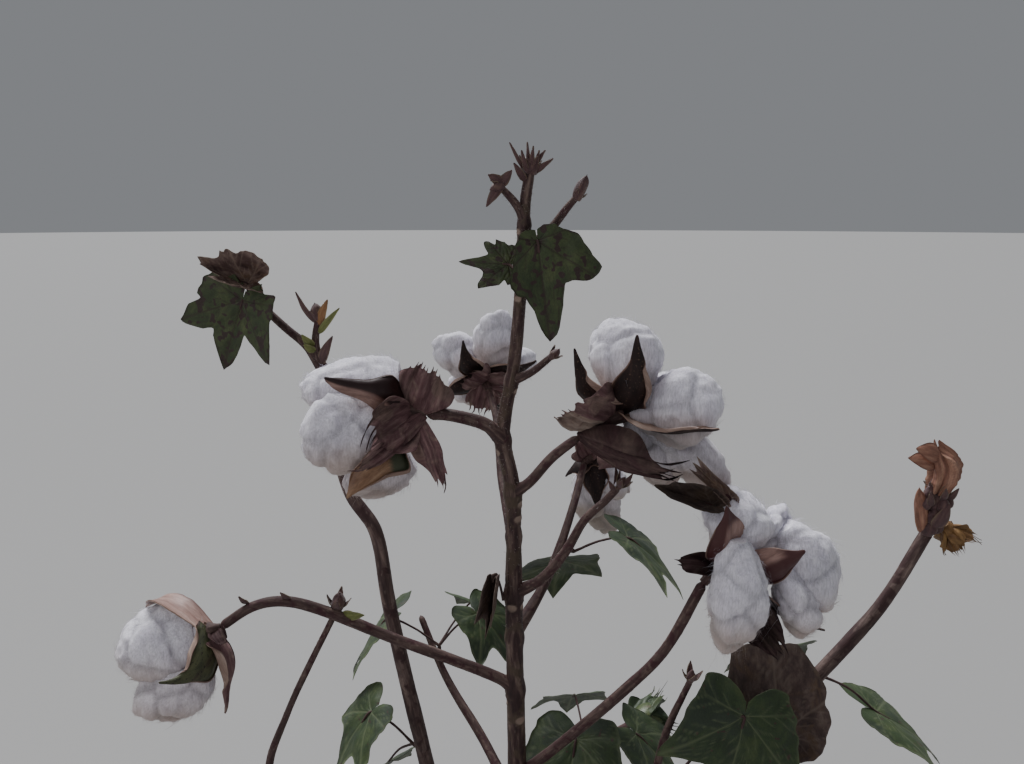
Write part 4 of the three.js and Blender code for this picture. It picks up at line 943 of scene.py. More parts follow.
def pore_field(flow, radius, pores):
    """Small raised pores, longer than they are wide"""
    height = np.zeros(radius.shape)
    angle = np.arctan2(flow[:1, :, 1], flow[:1, :, 0])
    rows = flow[:, 0, 2]
    for at, turn in pores:
        near = np.abs(rows - at) < 2.2
        if near.any():
            sideways = radius[near] * turn_between(angle, turn)
            height[near] += 0.14 * np.exp(-((sideways / 0.42) ** 2) - ((flow[near][..., 2] - at) / 0.75) ** 2)
    return height


def add_limb(shape, path, radius_at, sides, step, seed, depth, scars=(), upright=False):
    """A ridged limb. An upright one starts level, any other has a rounded tip."""
    places, shares, run = evenly(path, step)
    radii = radius_at(shares)
    if not upright:
        radii = radii * np.sqrt(np.clip((run[-1] - run + 0.05) / (1.2 * radii), 0, 1))
    relief, mark = bark_relief(radii, run, carried_frames(places), joints_of(path), seed, depth, scars)
    add_tube(shape, places, radii, sides, 0, relief, mark, upright)


def stem_radius(shares):
    return np.interp(shares * (len(STEM) - 1), np.arange(len(STEM)), [row[3] for row in STEM])


def make_main_stem():
    shape = Shape()
    path = [row[:3] for row in STEM]
    scars = [(at, np.array(way, float)) for at, way in STEM_SCARS]
    add_limb(shape, path, stem_radius, STEM_SIDES, STEM_STEP, 11, STEM_RIDGES, scars, upright=True)
    shape.points[0][:, 2] = np.maximum(shape.points[0][:, 2], 0)
    shape.finish("main_stem_bark", [BARK], ["main_stem"], "stem_bark")


def bough_radius(path, radii):
    """The radius of a limb at shares of its path, with a collar where it starts"""
    def radius_at(shares):
        return mix(radii[0], radii[1], shares) * (1 + COLLAR * np.maximum(0, 1 - shares * len(path)))
    return radius_at


def make_limb(name, seed):
    path, radii = LIMBS[name]
    thick = name.startswith("side_stem")
    sides, ridges = (SIDE_STEM_SIDES, SIDE_RIDGES) if thick else (LIMB_SIDES, LIMB_RIDGES)
    shape = Shape()
    add_limb(shape, path, bough_radius(path, radii), sides, LIMB_STEP, seed, ridges)
    if name in BUDS:
        add_bud(shape, BUDS[name], seed, 1)
    add_sprig(shape, name, seed + 50, 1)
    materials = [SIDE_BARK if thick else TWIG_BARK, *BUD_FINISHES]
    shape.finish(f"{name}_bark", materials, [name], "stem_bark" if thick else "branch_bark")


# Bolls

def round_boll(foot, hub, facing, turn, size, count):
    """The locks, valves and bracts of a boll that is laid out evenly about the way it faces"""
    ahead = unit(facing)
    side = unit(np.cross((0, 0, 1), ahead))

    def tip_at(index, offset, spread, reach):
        angle = math.radians(turn) + 2 * math.pi * (index + offset) / count
        spread = math.radians(spread)
        way = ahead * math.cos(spread) + turned(side, ahead, angle) * math.sin(spread)
        return tuple(np.array(hub, float) + way * reach * size)

    locks = []
    valves = []
    bracts = []
    for i in range(count):
        tip = tip_at(i, 0, LOCK_SPREAD + 8 * (i % 2), LOCK_LENGTH + 4 * (i % 3))
        locks.append((tip, LOCK_WIDTH * size))
        tip = tip_at(i, 0.5, VALVE_SPREAD, VALVE_LENGTH)
        valves.append((tip, None, 16 - 12 * i, 0.3 + 0.2 * (i % 3), 0.8 - 0.25 * (i % 2), 3 - 2 * i))
    for i in range(3):
        tip = tip_at(i, i * count / 3 - i + 0.25, BRACT_SPREAD, BRACT_LENGTH)
        bracts.append((tip, BRACT_WIDTH * size, None, SEAT_SHARE))
    return {"foot": foot, "hub": hub, "locks": locks, "valves": valves, "bracts": bracts}


def boll_of(name):
    """A boll's parts, its hub and the way that its locks face together"""
    boll = BOLLS[name] if name in BOLLS else round_boll(*ROUND_BOLLS[name])
    hub = np.array(boll["hub"], float)
    return boll, hub, unit(sum(unit(np.array(lock[0]) - hub) for lock in boll["locks"]))


def rolled(reach, width):
    """How far the edge of a valve turns outwards, in radians, at a share of its half width"""
    start = 0.94 - 0.46 * width
    return (1.4 + 2.0 * np.minimum(width, 1)) * ease(start, np.minimum(start + 0.26, 1), reach)


def valve_outline(row, profile, broad):
    """Half the width of a valve at shares of its length"""
    half = np.interp(row[:, 0], *zip(*profile))
    half = broad * VALVE_WIDTH / 2 * np.convolve(np.pad(half, 3, mode="edge"), np.ones(7) / 7, mode="valid")
    half[-1] = 0.3
    return half[:, None]


def valve_slope(row, reach, roll_end, edges, opened, seed):
    """The slope across a valve: a hollow with its edges rolled out, and flatter past its fold"""
    body = ease(0.06, 0.3, row) * (1 - ease(roll_end - 0.04, roll_end + 0.1, row))
    wave = 1 + 0.25 * sheet_noise(row * 5, 0, 1.0, seed)
    turned_out = rolled(np.abs(reach), np.where(reach > 0, *edges)) * np.sign(reach)
    slope = -VALVE_ARC * reach * mix(0.6, 1, body) + turned_out * body * wave
    if opened and opened[0]:
        side, limit = opened[:2]
        flat = -side * (0.8 - 0.5 * side * reach)
        slope = np.where(side * reach - limit > 0, flat, slope + 0.35 * reach * body)
    return slope


def valve_section(half, reach, slope):
    """How far a valve lies beside its midline and above it at each place, from its slope there"""
    step = np.diff(reach) * half
    between = (slope[:, 1:] + slope[:, :-1]) / 2
    centre = len(reach) // 2
    measures = []
    for part in (np.cos(between), np.sin(between)):
        run = np.concatenate([np.zeros((len(half), 1)), np.cumsum(step * part, axis=1)], axis=1)
        measures.append(run - run[:, centre:centre + 1])
    return measures


def show_inside(shape, first, opened, row, reach, claw, crumple):
    """Let the outside of a valve show its inner face past a fold"""
    side, limit, light = opened
    if side:
        past = side * reach - limit
        dark = 1 - ease(-0.02, 0.06, past) * (1 - claw) - 0.5 * bell(past + 0.06, 0.05) * (1 - claw)
        shape.mark[first] = np.clip(dark, 0, 1).ravel()
        shape.shade[first] = mix(1, light, ease(0.5, 0.9, dark)).ravel()
    else:
        fold = row - limit - 0.14 * reach + 0.05 * crumple
        shape.mark[first] = np.clip(1 - ease(-0.02, 0.03, fold), 0, 1).ravel()


def add_valve(shape, hub, valve, middle, seed, outside, opened, form):
    """One dry valve: a woody cup drawn out to a claw, dark outside and tan inside, with its edges rolled out.
    opened says which part shows the inner face and form is its outline and where its rolled edges end."""
    tip, back, twist, left, right, bow = valve
    profile, roll_end, broad, cut, ragged = form
    along, out, across = frame_of(hub, tip, -middle if back is None else back)
    length = np.linalg.norm(along)
    row = np.linspace(0.02, 1, VALVE_ROWS)[:, None]
    reach = np.sin(np.linspace(-np.pi / 2, np.pi / 2, VALVE_COLUMNS))
    half = valve_outline(row, profile, broad)
    slope = valve_slope(row, reach, roll_end, (left, right), opened, seed)
    sideways, height = valve_section(half, reach, slope)
    sideways = np.where(reach < 0, sideways * (1 - cut * ease(0.3, 0.62, row)), sideways)
    sideways = sideways * (1 + ragged * sheet_noise(row * 6, 3 * np.sign(reach), 1, seed, 5))
    sideways = sideways + (bow * np.sin(np.pi * row) + np.sin(2.2 * np.pi * row + seed))
    height = height + length * (0.15 * np.sin(np.pi * row) + 0.07 * ease(0.7, 1, row))
    turn = np.radians(twist) * row ** 1.5
    right_way = across * np.cos(turn) + out * np.sin(turn)
    rise = (out * np.cos(turn) - across * np.sin(turn))[:, None]
    grid = hub + along * row[..., None] + right_way[:, None] * sideways[..., None] + rise * height[..., None]
    wrinkle = 0.4 * noise(grid, 6, seed) + 0.15 * noise(grid, 1.6, seed + 1)
    grid = grid + rise * wrinkle[..., None]
    flow = joined(half * reach, 0.0, row * length)
    claw = ease(roll_end, roll_end + 0.14, row) * np.ones(VALVE_COLUMNS)
    thin = (1.1 + 0.2 * noise(grid, 3, seed + 2)) * (1 - 0.4 * ease(0.6, 1, np.abs(reach)))
    thin = thin + 0.5 * claw * (1.02 - row)
    edge = 0.7 * ease(0.8, 0.97, np.abs(reach)) * (1 - claw)
    first = len(shape.points)
    add_plate(shape, grid, VALVE_THICKNESS, (outside, INSIDE), flow, mark=edge, thin=thin, rim=INSIDE)
    if opened:
        show_inside(shape, first, opened, row, reach, claw, noise(grid, 5, seed + 3))
    ridge = bell(half * reach, 0.8) * (1 - ease(0.3, 0.7, row))
    shape.points[first + 1] -= (rise * 1.6 * ridge[..., None]).reshape(-1, 3)
    shape.mark[first + 1] = np.clip(0.9 * claw, 0, 1).ravel()


def bract_edge(turn, teeth, ragged, reaches):
    """The tooth at each place across a bract, and how far its body and its edge reach there"""
    count, spread = teeth
    place = np.arange(len(turn)) / TOOTH_COLUMNS - 1
    tooth = np.clip(place.astype(int), 0, count - 1)
    phase = np.abs(np.mod(place, 1) - 0.5)
    spike = np.where((place > 0) & (place < count), np.clip(1 - phase / 0.2, 0, 1) ** 1.25, 0)
    body = (1.04 - spread) * (1 - 0.45 * turn ** 4) + 0.05 * ragged
    return tooth, body, body + spread * spike * reaches[tooth] * (1 - 0.3 * turn ** 2)


def add_bract(shape, base, bract, middle, seed, kind, teeth=USUAL_TEETH, pale=0, tone=1):
    """A dry bract: a crumpled papery sheet with folds along it, whose far edge runs out into thin teeth.
    teeth is their count and reach, and pale is the side of the next kind, 1 left and -1 right."""
    tip, width, back = bract[:3]
    along, out, across = frame_of(base, tip, -middle if back is None else back)
    length = np.linalg.norm(along)
    along = along / length
    rng = np.random.default_rng(seed)
    reaches = rng.uniform(0.35, 1.1, teeth[0])
    turn = np.linspace(-1, 1, (teeth[0] + 2) * TOOTH_COLUMNS + 1)
    ragged = sheet_noise(turn * 7, 0, 1, seed)[None]
    tooth, body, edge = bract_edge(turn, teeth, ragged, reaches)
    grown = edge * np.linspace(0.02, 1, BRACT_ROWS)[:, None]
    past = np.clip(grown - body, 0, 1) * length
    swell = 0.3 + 0.7 * np.sin(0.5 * np.pi * np.clip(grown / 0.42, 0, 1)) ** 0.8 - 0.3 * ease(0.5, 1, grown)
    x = width / 2 * turn * swell
    folds = np.sin(2.6 * np.pi * turn + seed) + 0.5 * np.sin(6.3 * np.pi * turn + 2 * seed)
    deep = 1.1 * min(1, width / 24) ** 2
    height = length * 0.16 * np.sin(0.5 * np.pi * np.clip(grown * 1.5, 0, 1)) - 0.016 * x ** 2
    height = height + deep * folds * np.clip(grown * 1.6 + 0.1, 0, 1) * (1 + 0.4 * ragged)
    flow = joined(x, 0.0, length * grown)
    crumple = 3.0 * noise(flow + 13 * seed, 10, seed + 3) + 1.2 * noise(flow + 5 * seed, 4, seed + 4)
    sway = rng.uniform(-1, 1, (2, teeth[0]))[:, tooth]
    height = height + crumple * np.clip(grown, 0, 1) ** 0.6 + 0.05 * sway[0] * past ** 2
    hem = 0.2 * length * ease(0.75, 1, np.abs(turn))
    height = height - hem * np.sin(np.pi * grown) * np.sign(math.sin(seed))
    x = x + 0.06 * sway[1] * past ** 2 + 0.05 * past * turn
    grid = base + along * (length * grown)[..., None] + across * x[..., None] + out * height[..., None]
    vein = np.clip(0.35 * np.clip(folds / 1.3, 0, 1) ** 4 + 0.8 * np.clip(past / 3, 0, 1), 0, 1)
    # Painted shade: the bract is darker in the hollows of its folds and crumples, times its own tone
    shade = tone * (0.72 + 0.28 * ease(-2.0, 2.0, crumple + folds))
    light = (pale * turn[1:] + 0.15 * ragged[0, 1:] > 0.05) & (past[1:, 1:] < 0.5) & (pale != 0)
    kinds = (kind + light * np.ones((BRACT_ROWS - 1, 1), int)).ravel()
    add_plate(shape, grid, BRACT_THICKNESS, (kinds, kinds), flow, mark=vein, shade=shade, rim=kind)


def make_bur(name, seed):
    boll, hub, middle = boll_of(name)
    foot = np.array(boll["foot"], float)
    shape = Shape()
    places, shares, _ = evenly([foot, mix(hub, foot, SEAT_SHARE) - middle, hub], SEAT_STEP)
    radii = mix(STALK_RADIUS, KNOB_RADIUS, shares ** 1.3)
    radii = radii * (1 + 0.3 * np.exp(-shares * 6))
    add_tube(shape, places, radii, SEAT_SIDES, STALK, grooves(0.25, 1.6, 0.4, seed))
    for i, valve in enumerate(boll["valves"]):
        opened = OPEN_VALVES.get((name, i))
        outside = VALVE_KINDS.get((name, i), OUTSIDE)
        if opened:
            outside = FOLDED if opened[0] else ORANGE
        form = VALVE_FORMS.get((name, i), USUAL_FORM)
        add_valve(shape, hub, valve, middle, seed + 10 * i, outside, opened, form)
    for i, bract in enumerate(boll["bracts"]):
        base = mix(hub, foot, bract[3]) - middle
        looks = [table.get((name, i), usual) for table, usual in BRACT_LOOKS]
        add_bract(shape, base, bract, middle, seed + 100 + 10 * i, PAPER, *looks)
    materials = [VALVE_OUT, VALVE_IN, BRACT, BRACT_PALE, TWIG_BARK, VALVE_GREEN, VALVE_FOLD, VALVE_ORANGE]
    shape.finish(f"{name}_dry_bur", materials, [f"{name}_bur"], "bur")


def lump_middles(points, width, seed):
    """Places on a lock, well apart from each other, for the middles of its lumps"""
    flat = points.reshape(-1, 3)
    chosen = []
    for k in np.random.default_rng(seed).integers(0, len(flat), LUMP_TRIES):
        if len(chosen) < LOCK_LUMPS and all(np.linalg.norm(flat[k] - c) > 0.38 * width for c in chosen):
            chosen.append(flat[k])
    return chosen


def lock_surface(hub, lock, middle, index, seed, rows, columns):
    """Points on a lock of lint, the way out of it at each, and how deep each lies in a crease"""
    tip, width = lock[:2]
    start = hub + np.array(lock[2] if len(lock) > 2 else (0, 0, 0), float)
    along, out, across = frame_of(start, tip, -middle)
    share = mix(0.06, 0.99, (0.5 - 0.5 * np.cos(np.linspace(0, np.pi, rows)) * 0.998)[:, None])
    angle = (np.arange(columns) * 2 * np.pi / columns)[None]
    fullest, blunt = (1.08, 0.5) if len(lock) > 2 else (1.35, 0.6)
    swell = width / 2 * np.sin(np.pi * share ** fullest) ** blunt
    depth = np.where(np.sin(angle) > 0, 0.62, 0.95) * np.sin(angle)
    spread = across * np.cos(angle)[..., None] + out * depth[..., None]
    lump = 1 + 0.07 * np.sin(3 * angle + 5 * share + 2 * index)
    centre = start + along * share[..., None] - out * (0.06 * width * np.sin(np.pi * share))[..., None]
    points = centre + spread * (swell * lump)[..., None]
    away = unit(points - (start + along * 0.62))
    gaps = np.stack([np.linalg.norm(points - c, axis=-1) for c in lump_middles(points, width, seed)])
    two = np.sort(gaps, axis=0)[:2]
    crease = bell(two[1] - two[0], 3.4)
    rise = -1.5 * crease + 1.4 * rough(points, 14, 2, seed + 1)
    rise = rise + 0.9 * (1 - 2 * np.abs(noise(points, 5.5, seed + 4)))
    rise = rise + 0.3 * (1 - 2 * np.abs(noise(points, 2.2, seed + 5)))
    pinch = ease(0.02, 0.25, share) * (1 - ease(0.985, 1.0, share) * 0.5)
    return points + away * (rise * pinch)[..., None], away, crease


def make_lint(name, seed):
    boll, hub, middle = boll_of(name)
    shape = Shape()
    strands = Shape()
    (rows, columns), fibres = (NEAR_LOCK, NEAR_FIBRES) if name in NEAR_BOLLS else (FAR_LOCK, FAR_FIBRES)
    for i, lock in enumerate(boll["locks"]):
        points, away, crease = lock_surface(hub, lock, middle, i, seed + 31 * i, rows, columns)
        along = unit(np.array(lock[0]) - hub)
        flow = points + 4 * np.cross(along, away)
        # Painted shade: the lint is darker in the creases between its lumps; the rest is tone that differs at
        # random
        shade = (1 - 0.26 * crease) * (1 - 0.12 * ease(0.1, 0.9, rough(points, 11, 2, seed + 2)))
        # Painted shade: locks below the hub are laid darker, where the upper locks shade them
        low = 0.38 * ease(-8, 42, hub[2] - points[..., 2])
        # Beige stain and painted shade: the undersides of the locks turn beige and darker the more they face
        # down
        stain_and_painted_shade = np.clip(0.5 * ease(-0.15, 0.85, -away[..., 2]) + low, 0, 0.8)
        shape.add(points, grid_faces(rows, columns, True), 0, flow, stain_and_painted_shade, shade)
        for row in (0, rows - 1):
            add_cap(shape, points[row], points[row].mean(0), row == 0)
        loose = LOOSE_FIBRES.get(name, USUAL_LOOSE)
        add_fuzz(strands, points, away, along, lock[1], seed + 31 * i + 5, fibres, loose, stain_and_painted_shade)
    shape.finish(f"{name}_locks", [LINT], [f"{name}_lint"], "lint")
    strands.finish(f"{name}_fibres", [LINT], [], "lint")


def add_fuzz(shape, points, away, along, width, seed, number, loose, stain_and_painted_shade):
    """Fine fibres on a lock: some lie on it in swirls, most stand a little off it and a few long ones hang"""
    rng = np.random.default_rng(seed)
    rows, columns = points.shape[:2]
    weight = np.linalg.norm(np.gradient(points, axis=1), axis=-1)[2:-1].ravel()
    picks = rng.choice((rows - 3) * columns, number, p=weight / weight.sum()) + 2 * columns
    start = points.reshape(-1, 3)[picks] + rng.normal(0, 0.5, (number, 3))
    normal = away.reshape(-1, 3)[picks]
    swirl = np.stack([noise(start, 8, seed + k) for k in (1, 2, 3)], axis=-1) + 0.5 * along
    tangent = square_to(swirl + rng.normal(0, 0.3, start.shape), normal)
    kind = rng.uniform(0, 1, number)
    standing = kind > 0.3
    long = kind > 1 - loose
    length = np.where(standing, 0.35 + rng.gamma(2.0, 0.28, number), rng.uniform(2.5, 6, number))
    length = np.where(long, rng.uniform(5, 12, number), length)
    lift = np.where(standing, rng.uniform(0.6, 2.0, number), rng.uniform(0.0, 0.12, number))[:, None]
    heading = unit(tangent + normal * lift)
    droop = np.where(standing & ~long, 0.2, length / width)[:, None]
    bend = -normal * droop + rng.normal(0, 0.25, start.shape)
    bend = bend + np.where(long, 1.0, 0.0)[:, None] * (0, 0, -0.8)
    start = start - normal * np.where(standing, 0.3, 0.12)[:, None]
    # The fibres take the beige stain and painted shade of the lock where they start
    mark = np.repeat(stain_and_painted_shade.ravel()[picks], 2 * (STRAND_PIECES + 1))
    add_strands(shape, start, heading, bend, length, np.where(standing, 0.09, 0.15), mark)


# Leaves

def outline_reach(turn, outline):
    """How far a lobed leaf reaches at an angle from its midrib: sharp at lobes and round in notches"""
    if outline:
        return np.interp(turn, *zip(*outline))
    turn = np.abs(turn)
    reach = np.zeros_like(turn)
    for (a, at), (b, to) in zip(LEAF_OUTLINE, LEAF_OUTLINE[1:]):
        inside = (turn >= a) & (turn <= b)
        share = np.clip((turn - a) / (b - a), 0, 1)
        curved = 1 - (1 - share) ** 1.7 if at > to else share ** 1.7
        reach = np.where(inside, at + (to - at) * curved, reach)
    last_turn, last_reach = LEAF_OUTLINE[-1]
    behind = last_reach * (1 - 0.72 * ease(last_turn, 178, turn))
    return np.where(turn > last_turn, behind, reach)


def rib_gap(sideways, forward, length):
    """How far each place on a leaf lies from its nearest rib, in millimetres"""
    far = 1e3
    spacing = 0.13 * length
    best = np.full(sideways.shape, far)
    for rib in LEAF_RIBS:
        a = math.radians(rib)
        ahead = sideways * math.sin(a) + forward * math.cos(a)
        off = np.abs(sideways * math.cos(a) - forward * math.sin(a))
        main = np.where(ahead > 0, off, far)
        side = np.abs(np.mod(ahead - 1.25 * off + 0.3 * spacing, spacing) - spacing / 2) * 0.62
        side = np.where((ahead > 0) & (off < 0.34 * ahead + 0.5), side + 0.18, far)
        best = np.minimum(best, np.minimum(main, side))
    return best


def add_leaf(shape, start, leaf, seed, kind, curl, bites, grid_size, outline, tone):
    """A lobed leaf on its stalk, veined, puckered between its veins, folded along its midrib and drooping"""
    at, tip, face, wide, fold, droop = leaf
    base = np.array(at, float)
    along = np.array(tip, float) - base
    length = np.linalg.norm(along)
    along = along / length
    up = square_to(np.array(face, float), along)
    across = np.cross(along, up)
    rows, columns = grid_size
    turn = np.linspace(-176, 176, columns)
    reach = outline_reach(turn, outline) * (1 + 0.05 * sheet_noise(turn / 9, 0, 1, seed))
    bite = bites * np.clip(sheet_noise(turn / 14, 0, 1, seed, 9) - 0.15, 0, 1)
    share = np.linspace(0.02, 1, rows)[:, None]
    distance = length * share * reach * (1 - bite)
    sideways = np.sin(np.radians(turn)) * distance
    forward = np.cos(np.radians(turn)) * distance
    gap = rib_gap(sideways, forward, length)

    def lumps(size, layer):
        return sheet_noise(sideways, forward, size * length, seed, layer)

    pucker = 0.03 * length * lumps(0.32, 0) * share + 0.012 * length * lumps(0.12, 1)
    height = fold * np.abs(sideways) - droop * distance ** 2 / length
    height = height + pucker - 0.35 * bell(gap, 0.55) + 0.02 * length * share ** 3 * lumps(0.16, 2)
    height = height + curl * length * ease(0.55, 1, share) * (0.6 + 0.5 * lumps(0.4, 3))
    grid = base + across * (wide * sideways * (1 - 0.35 * abs(curl) * share))[..., None]
    grid = grid + along * forward[..., None] + up * height[..., None]
    flow = joined(sideways, height, forward) + seed
    pale = np.clip(0.75 * bell(gap, 0.45) + 0.35 * ease(0.93, 1, share), 0, 1)
    add_plate(shape, grid[:, ::-1], LEAF_THICKNESS, (kind, kind), flow[:, ::-1], pale[:, ::-1], tone)
    add_stalk(shape, start, base, PETIOLE_RADIUS, LEAF_STALK, grid[2, columns // 2])


def add_stalk(shape, start, end, radius, kind, *further):
    """A thin stalk that rises a little on its way, a little thicker at both ends"""
    start, end = np.array(start, float), np.array(end, float)
    middle = mix(start, end, 0.5) + np.array([0, 0, 0.08 * np.linalg.norm(end - start)])
    places, shares, _ = evenly([start, middle, end, *further], STALK_STEP)
    radii = radius * (1 + 0.45 * np.exp(-shares * 9) + 0.2 * np.exp(-(1 - shares) * 12))
    radii[-1] = 0.3 * radius
    add_tube(shape, places, radii, STALK_SIDES, kind, grooves(0.08, 0.8, 0.3))


def leafy_shoot(foot, facing, stalk, blade, count, seed):
    """The fork and the leaves of a shoot that is laid out by rule"""
    random = seeded(seed)
    ahead = unit(facing)
    side = unit(np.cross((0.2, 1, 0.1), ahead))
    fork = np.array(foot, float) + ahead * SHOOT_TWIG
    leaves = []
    for i in range(count):
        around = turned(side, ahead, GOLDEN_ANGLE * (i + seed) + 0.4 * random())
        way = unit(around * 0.85 + ahead * mix(0.35, 0.7, random()))
        at = fork + way * stalk * mix(0.8, 1.1, random())
        hang = unit((way[0], way[1], -mix(0.35, 0.9, random())))
        tip = at + hang * blade * mix(0.85, 1.1, random())
        wide = mix(0.9, 1.05, random())
        leaves.append((at, tip, (0.5 * way[0], 0.5 * way[1], 1), wide, 0.12, 0.25))
    return foot, tuple(fork), leaves


def make_leaves(name, seed):
    foot, fork, leaves = LEAVES[name] if name in LEAVES else leafy_shoot(*LEAFY_SHOOTS[name])
    grid_size = FINE_LEAF if name in LEAVES else PLAIN_LEAF
    dry = name in DRY_LEAVES
    shape = Shape()
    add_stalk(shape, foot, fork, TWIG_RADIUS, LEAF_STALK)
    for i, leaf in enumerate(leaves):
        key = (name, i)
        kind = CURLED_BLADE if key in CURLED_LEAVES else BLADE
        curl = CURLED_LEAVES.get(key, DRY_LEAVES.get(name, 0.0))
        add_leaf(shape, fork, leaf, seed + 17 * i, kind, curl, LEAF_BITES.get(name, 0.0), grid_size,
                 OWN_OUTLINES.get(key), LEAF_TONES.get(key, 1))
    blade = LEAF_DRY if dry else LEAF_EATEN if name in LEAF_BITES else LEAF
    shape.finish(f"{name}_blades", [blade, TWIG_BARK, LEAF_DRY], [name], "leaf_dry" if dry else "leaf_green")


# Buds and flowers

def whorl_tip(start, ahead, index, count, reach):
    """The tip of one of the scales round a foot, every other one longer"""
    return start + ahead * reach * (0.8 + 0.16 * (index % 2)) + spoke(ahead, index, count) * 0.5 * reach


def add_bud(shape, bud, seed, kind):
    """A bud: a small pointed body with narrow pointed scales round its foot"""
    foot, facing, length, width, scales, reach = bud
    ahead = unit(facing)
    start = np.array(foot, float) - ahead * BUD_SEAT
    length = length + BUD_SEAT
    share = np.linspace(0, 1, BUD_ROWS)
    radii = width / 2 * np.sin(np.pi * mix(0.2, 0.985, share)) ** 0.9
    add_tube(shape, start + ahead * (share * length)[:, None], radii, BUD_SIDES, kind,
             grooves(0.10 * width, 1.7, 0.3, seed))
    for i in range(scales):
        tip = whorl_tip(start, ahead, i, scales, reach)
        add_scale(shape, start + ahead * 0.5, tip, ahead, 0.36 * reach, seed + i, kind)


def add_scale(shape, base, tip, middle, width, seed, kind):
    """A narrow pointed scale, keeled and bent outwards at its tip"""
    along, out, across = frame_of(base, tip, -np.asarray(middle, float))
    length = np.linalg.norm(along)
    share = np.linspace(0.02, 1, SCALE_ROWS)[:, None]
    reach = np.linspace(-1, 1, SCALE_COLUMNS)
    half = width / 2 * np.sin(np.pi * np.clip(share, 0, 0.999) ** 0.62) ** 0.8 + 0.1
    height = length * (0.16 * np.sin(np.pi * share) + 0.1 * share ** 4) - 0.25 * half * reach ** 2
    height = height + 0.3 * sheet_noise(reach * 4, share * 8, 1.5, seed)
    grid = base + along * share[..., None] + across * (half * reach)[..., None] + out * height[..., None]
    flow = joined(half * reach, 0.0, share * length)
    edge = 0.5 * ease(0.7, 1, np.abs(reach)) * np.ones((SCALE_ROWS, 1))
    add_plate(shape, grid, SCALE_THICKNESS, (kind, kind), flow, mark=edge)


def add_scales(shape, scales, facing, seed, step, kind):
    """Some scales, each with its foot, its tip, its width and, where it isn't the first, its finish"""
    for i, (base, tip, width, *further) in enumerate(scales):
        add_scale(shape, np.array(base, float), np.array(tip, float), facing, width, seed + step * i,
                  kind + sum(further))


def add_sprig(shape, name, seed, kind):
    add_scales(shape, SPRIGS.get(name, []), SPRIG_FACING, seed, 3, kind)


def make_buds(name, seed):
    shape = Shape()
    add_bud(shape, BUDS[name], seed, 0)
    add_sprig(shape, name, seed + 50, 0)
    shape.finish(f"{name}_scales", BUD_FINISHES, [name], "bud")


def suture_relief(flow):
    """Four shallow furrows along a closed boll"""
    return -0.5 * bell(np.sin(2 * np.arctan2(flow[..., 1], flow[..., 0])), 0.12)


def make_green_boll():
    foot, facing, length, width, count, reach = GREEN_BOLL
    ahead = unit(facing)
    start = np.array(foot, float)
    shape = Shape()
    share = np.linspace(0, 1, FRUIT_ROWS)
    radii = width / 2 * np.sin(np.pi * mix(0.14, 0.985, share) ** 1.05) ** 0.8
    add_tube(shape, start + ahead * (share * length)[:, None], radii, FRUIT_SIDES, 0, suture_relief)
    for i in range(count):
        bract = (whorl_tip(start, ahead, i, count, reach), GREEN_BRACT_WIDTH, None)
        add_bract(shape, start, bract, ahead, 300 + i, 1, GREEN_BRACT_TEETH)
    shape.finish("green_boll_fruit", [FRUIT, LEAF], ["green_boll_back"], "boll_green")


def add_corolla(shape, foot, facing, length, width, seed):
    """A withered flower: petals dried into a twisted tube that flares and curls at its mouth"""
    ahead = unit(facing)
    start = np.array(foot, float)
    side = spoke(ahead, 0, 1)
    other = np.cross(ahead, side)
    share = np.linspace(0, 1, PETAL_ROWS)[:, None]
    angle = np.linspace(0, 2 * np.pi, PETAL_COLUMNS)[None] + 1.3 * share
    fold = 0.22 * np.cos(5 * angle) + 0.10 * np.cos(11 * angle + 4 * share)
    radius = width / 2 * (0.62 + 0.38 * np.sin(np.pi * share * 0.85)) * (1 - 0.82 * ease(0.72, 1.05, share))
    radius = radius * (1 + fold)
    lean = side * (0.16 * length * np.sin(np.pi * share))[..., None]
    rim = ahead * (0.10 * length * ease(0.7, 1, share) * np.cos(3 * angle + 1))[..., None]
    points = start + ahead * (share * length * 0.92)[..., None] + lean + rim
    spread = side * np.cos(angle)[..., None] + other * np.sin(angle)[..., None]
    radius = radius * (1 + 0.18 * rough(points, 6, 3, seed))
    points = points + spread * radius[..., None]
    flow = joined(width * np.cos(angle), width * np.sin(angle), length * share)
    vein = 0.6 * np.clip(np.cos(22 * angle), 0, 1) ** 3 * (0.4 + 0.6 * share)
    add_plate(shape, points, PETAL_THICKNESS, flow=flow, mark=vein)


def make_withered():
    shape = Shape()
    add_corolla(shape, *PETALS, 41)
    for i, (bud, kind) in enumerate(WITHERED_BUDS):
        add_bud(shape, bud, 43 + i, kind)
    add_scales(shape, HOOKED_PETALS, (0.2, 1, -0.6), 60, 1, 0)
    for i, (place, size) in enumerate(WITHERED_KNOBS):
        add_bud(shape, (place, (0.1, -0.1, 1), size, size, 0, 0), 70 + i, 1)
    add_scales(shape, WITHERED_SCALES, SPRIG_FACING, 80, 1, 0)
    foot, facing = WITHERED_BUDS[-1][0][:2]
    ahead = unit(facing)
    start = np.array(foot, float)
    count, width, forward, outward = HANGING_BRACTS
    for i in range(count):
        tip = start + ahead * forward + spoke(ahead, i, count) * outward
        add_bract(shape, start, (tip, width, None), ahead, 400 + i, 2)
    for link in WITHERED_LINKS:
        add_stalk(shape, *link, TWIG_RADIUS, 3)
    materials = [PETAL, BUD, GOLD, TWIG_BARK]
    shape.finish("withered_flower_petals", materials, ["withered_flower_right"], "petal_dried")


# Short pale hairs on the young wood

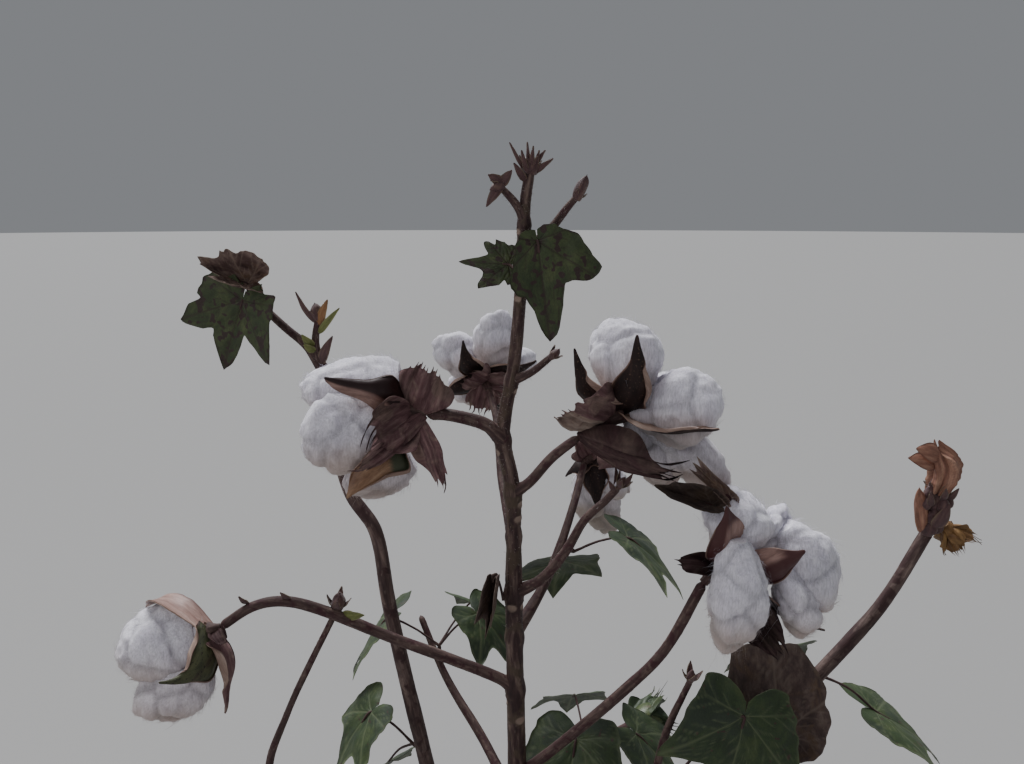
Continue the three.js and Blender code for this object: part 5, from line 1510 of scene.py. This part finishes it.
def make_hairs():
    shape = Shape()
    rng = np.random.default_rng(77)
    rods = [([row[:3] for row in STEM], stem_radius, *STEM_HAIRS)]
    for name in HAIRY_LIMBS:
        path, radii = LIMBS[name]
        rods.append((path, bough_radius(path, radii), *LIMB_HAIRS))
    for path, radius_at, low, number in rods:
        shares = rng.uniform(low, 1.0, number)
        places = smooth_places(path, shares)
        ahead = unit(smooth_places(path, np.minimum(shares + 0.004, 1)) - smooth_places(path, shares - 0.004))
        away = square_to(rng.normal(0, 1, places.shape), ahead)
        start = places + away * (radius_at(shares) * 0.97)[:, None]
        heading = unit(away + 0.35 * rng.normal(0, 1, places.shape))
        bend = unit(rng.normal(0, 1, places.shape)) * 0.3
        add_strands(shape, start, heading, bend, rng.uniform(0.9, 2.3, number), HAIR_WIDTH)
    shape.finish("young_wood_hairs", [HAIR], [], "branch_bark")


# Floor, light and camera, in metres

def make_stage():
    mesh = bpy.data.meshes.new("floor")
    turn = np.linspace(0, 2 * np.pi, FLOOR_SIDES, endpoint=False)
    rim = [(FLOOR_RADIUS * math.cos(a), FLOOR_RADIUS * math.sin(a), 0) for a in turn]
    mesh.from_pydata(rim, [], [tuple(range(len(rim)))])
    material = bpy.data.materials.new("floor_pale")
    material.use_nodes = True
    shader = material.node_tree.nodes["Principled BSDF"]
    shader.inputs["Base Color"].default_value = FLOOR_COLOUR
    shader.inputs["Roughness"].default_value = 0.9
    mesh.materials.append(material)
    place_in_scene("floor", mesh)


def add_light(name, kind, power, colour, way, **settings):
    """A light that shines along a direction"""
    light = bpy.data.lights.new(name, kind)
    light.energy = power
    light.color = colour
    for key, value in settings.items():
        setattr(light, key, value)
    lamp = place_in_scene(name, light)
    lamp.rotation_euler = way.to_track_quat("-Z", "Y").to_euler()
    return lamp


def make_light():
    world = bpy.data.worlds.new("studio")
    world.use_nodes = True
    world.node_tree.nodes["Background"].inputs["Color"].default_value = WORLD_COLOUR
    world.node_tree.nodes["Background"].inputs["Strength"].default_value = WORLD_STRENGTH
    bpy.context.scene.world = world
    add_light("top", "SUN", SUN_POWER, (0.97, 0.98, 1.0), -Vector(SUN_PLACE), angle=SUN_SOFTNESS)
    way = Vector(KEY_TARGET) - Vector(KEY_PLACE)
    key = add_light("key", "AREA", KEY_POWER, (1.0, 0.98, 0.97), way, shape="DISK", size=KEY_SIZE)
    key.location = KEY_PLACE


def make_camera():
    camera = bpy.data.cameras.new("camera")
    camera.lens = CAMERA_LENS
    camera.sensor_width = 36
    camera.clip_start = 0.01
    holder = place_in_scene("camera", camera)
    holder.location = CAMERA_PLACE
    holder.rotation_euler = (math.pi / 2 - CAMERA_PITCH, 0, 0)
    bpy.context.scene.camera = holder


make_camera()
make_light()
make_stage()
make_main_stem()
for number, name in enumerate(LIMBS):
    make_limb(name, 20 + 5 * number)
for number, name in enumerate([*BOLLS, *ROUND_BOLLS]):
    make_bur(name, 500 + 40 * number)
    make_lint(name, 900 + 200 * number)
for number, name in enumerate([*LEAVES, *LEAFY_SHOOTS]):
    make_leaves(name, 3000 + 60 * number)
for number, name in enumerate(BUDS):
    if name not in LIMBS:
        make_buds(name, 4000 + 10 * number)
make_green_boll()
make_withered()
make_hairs()
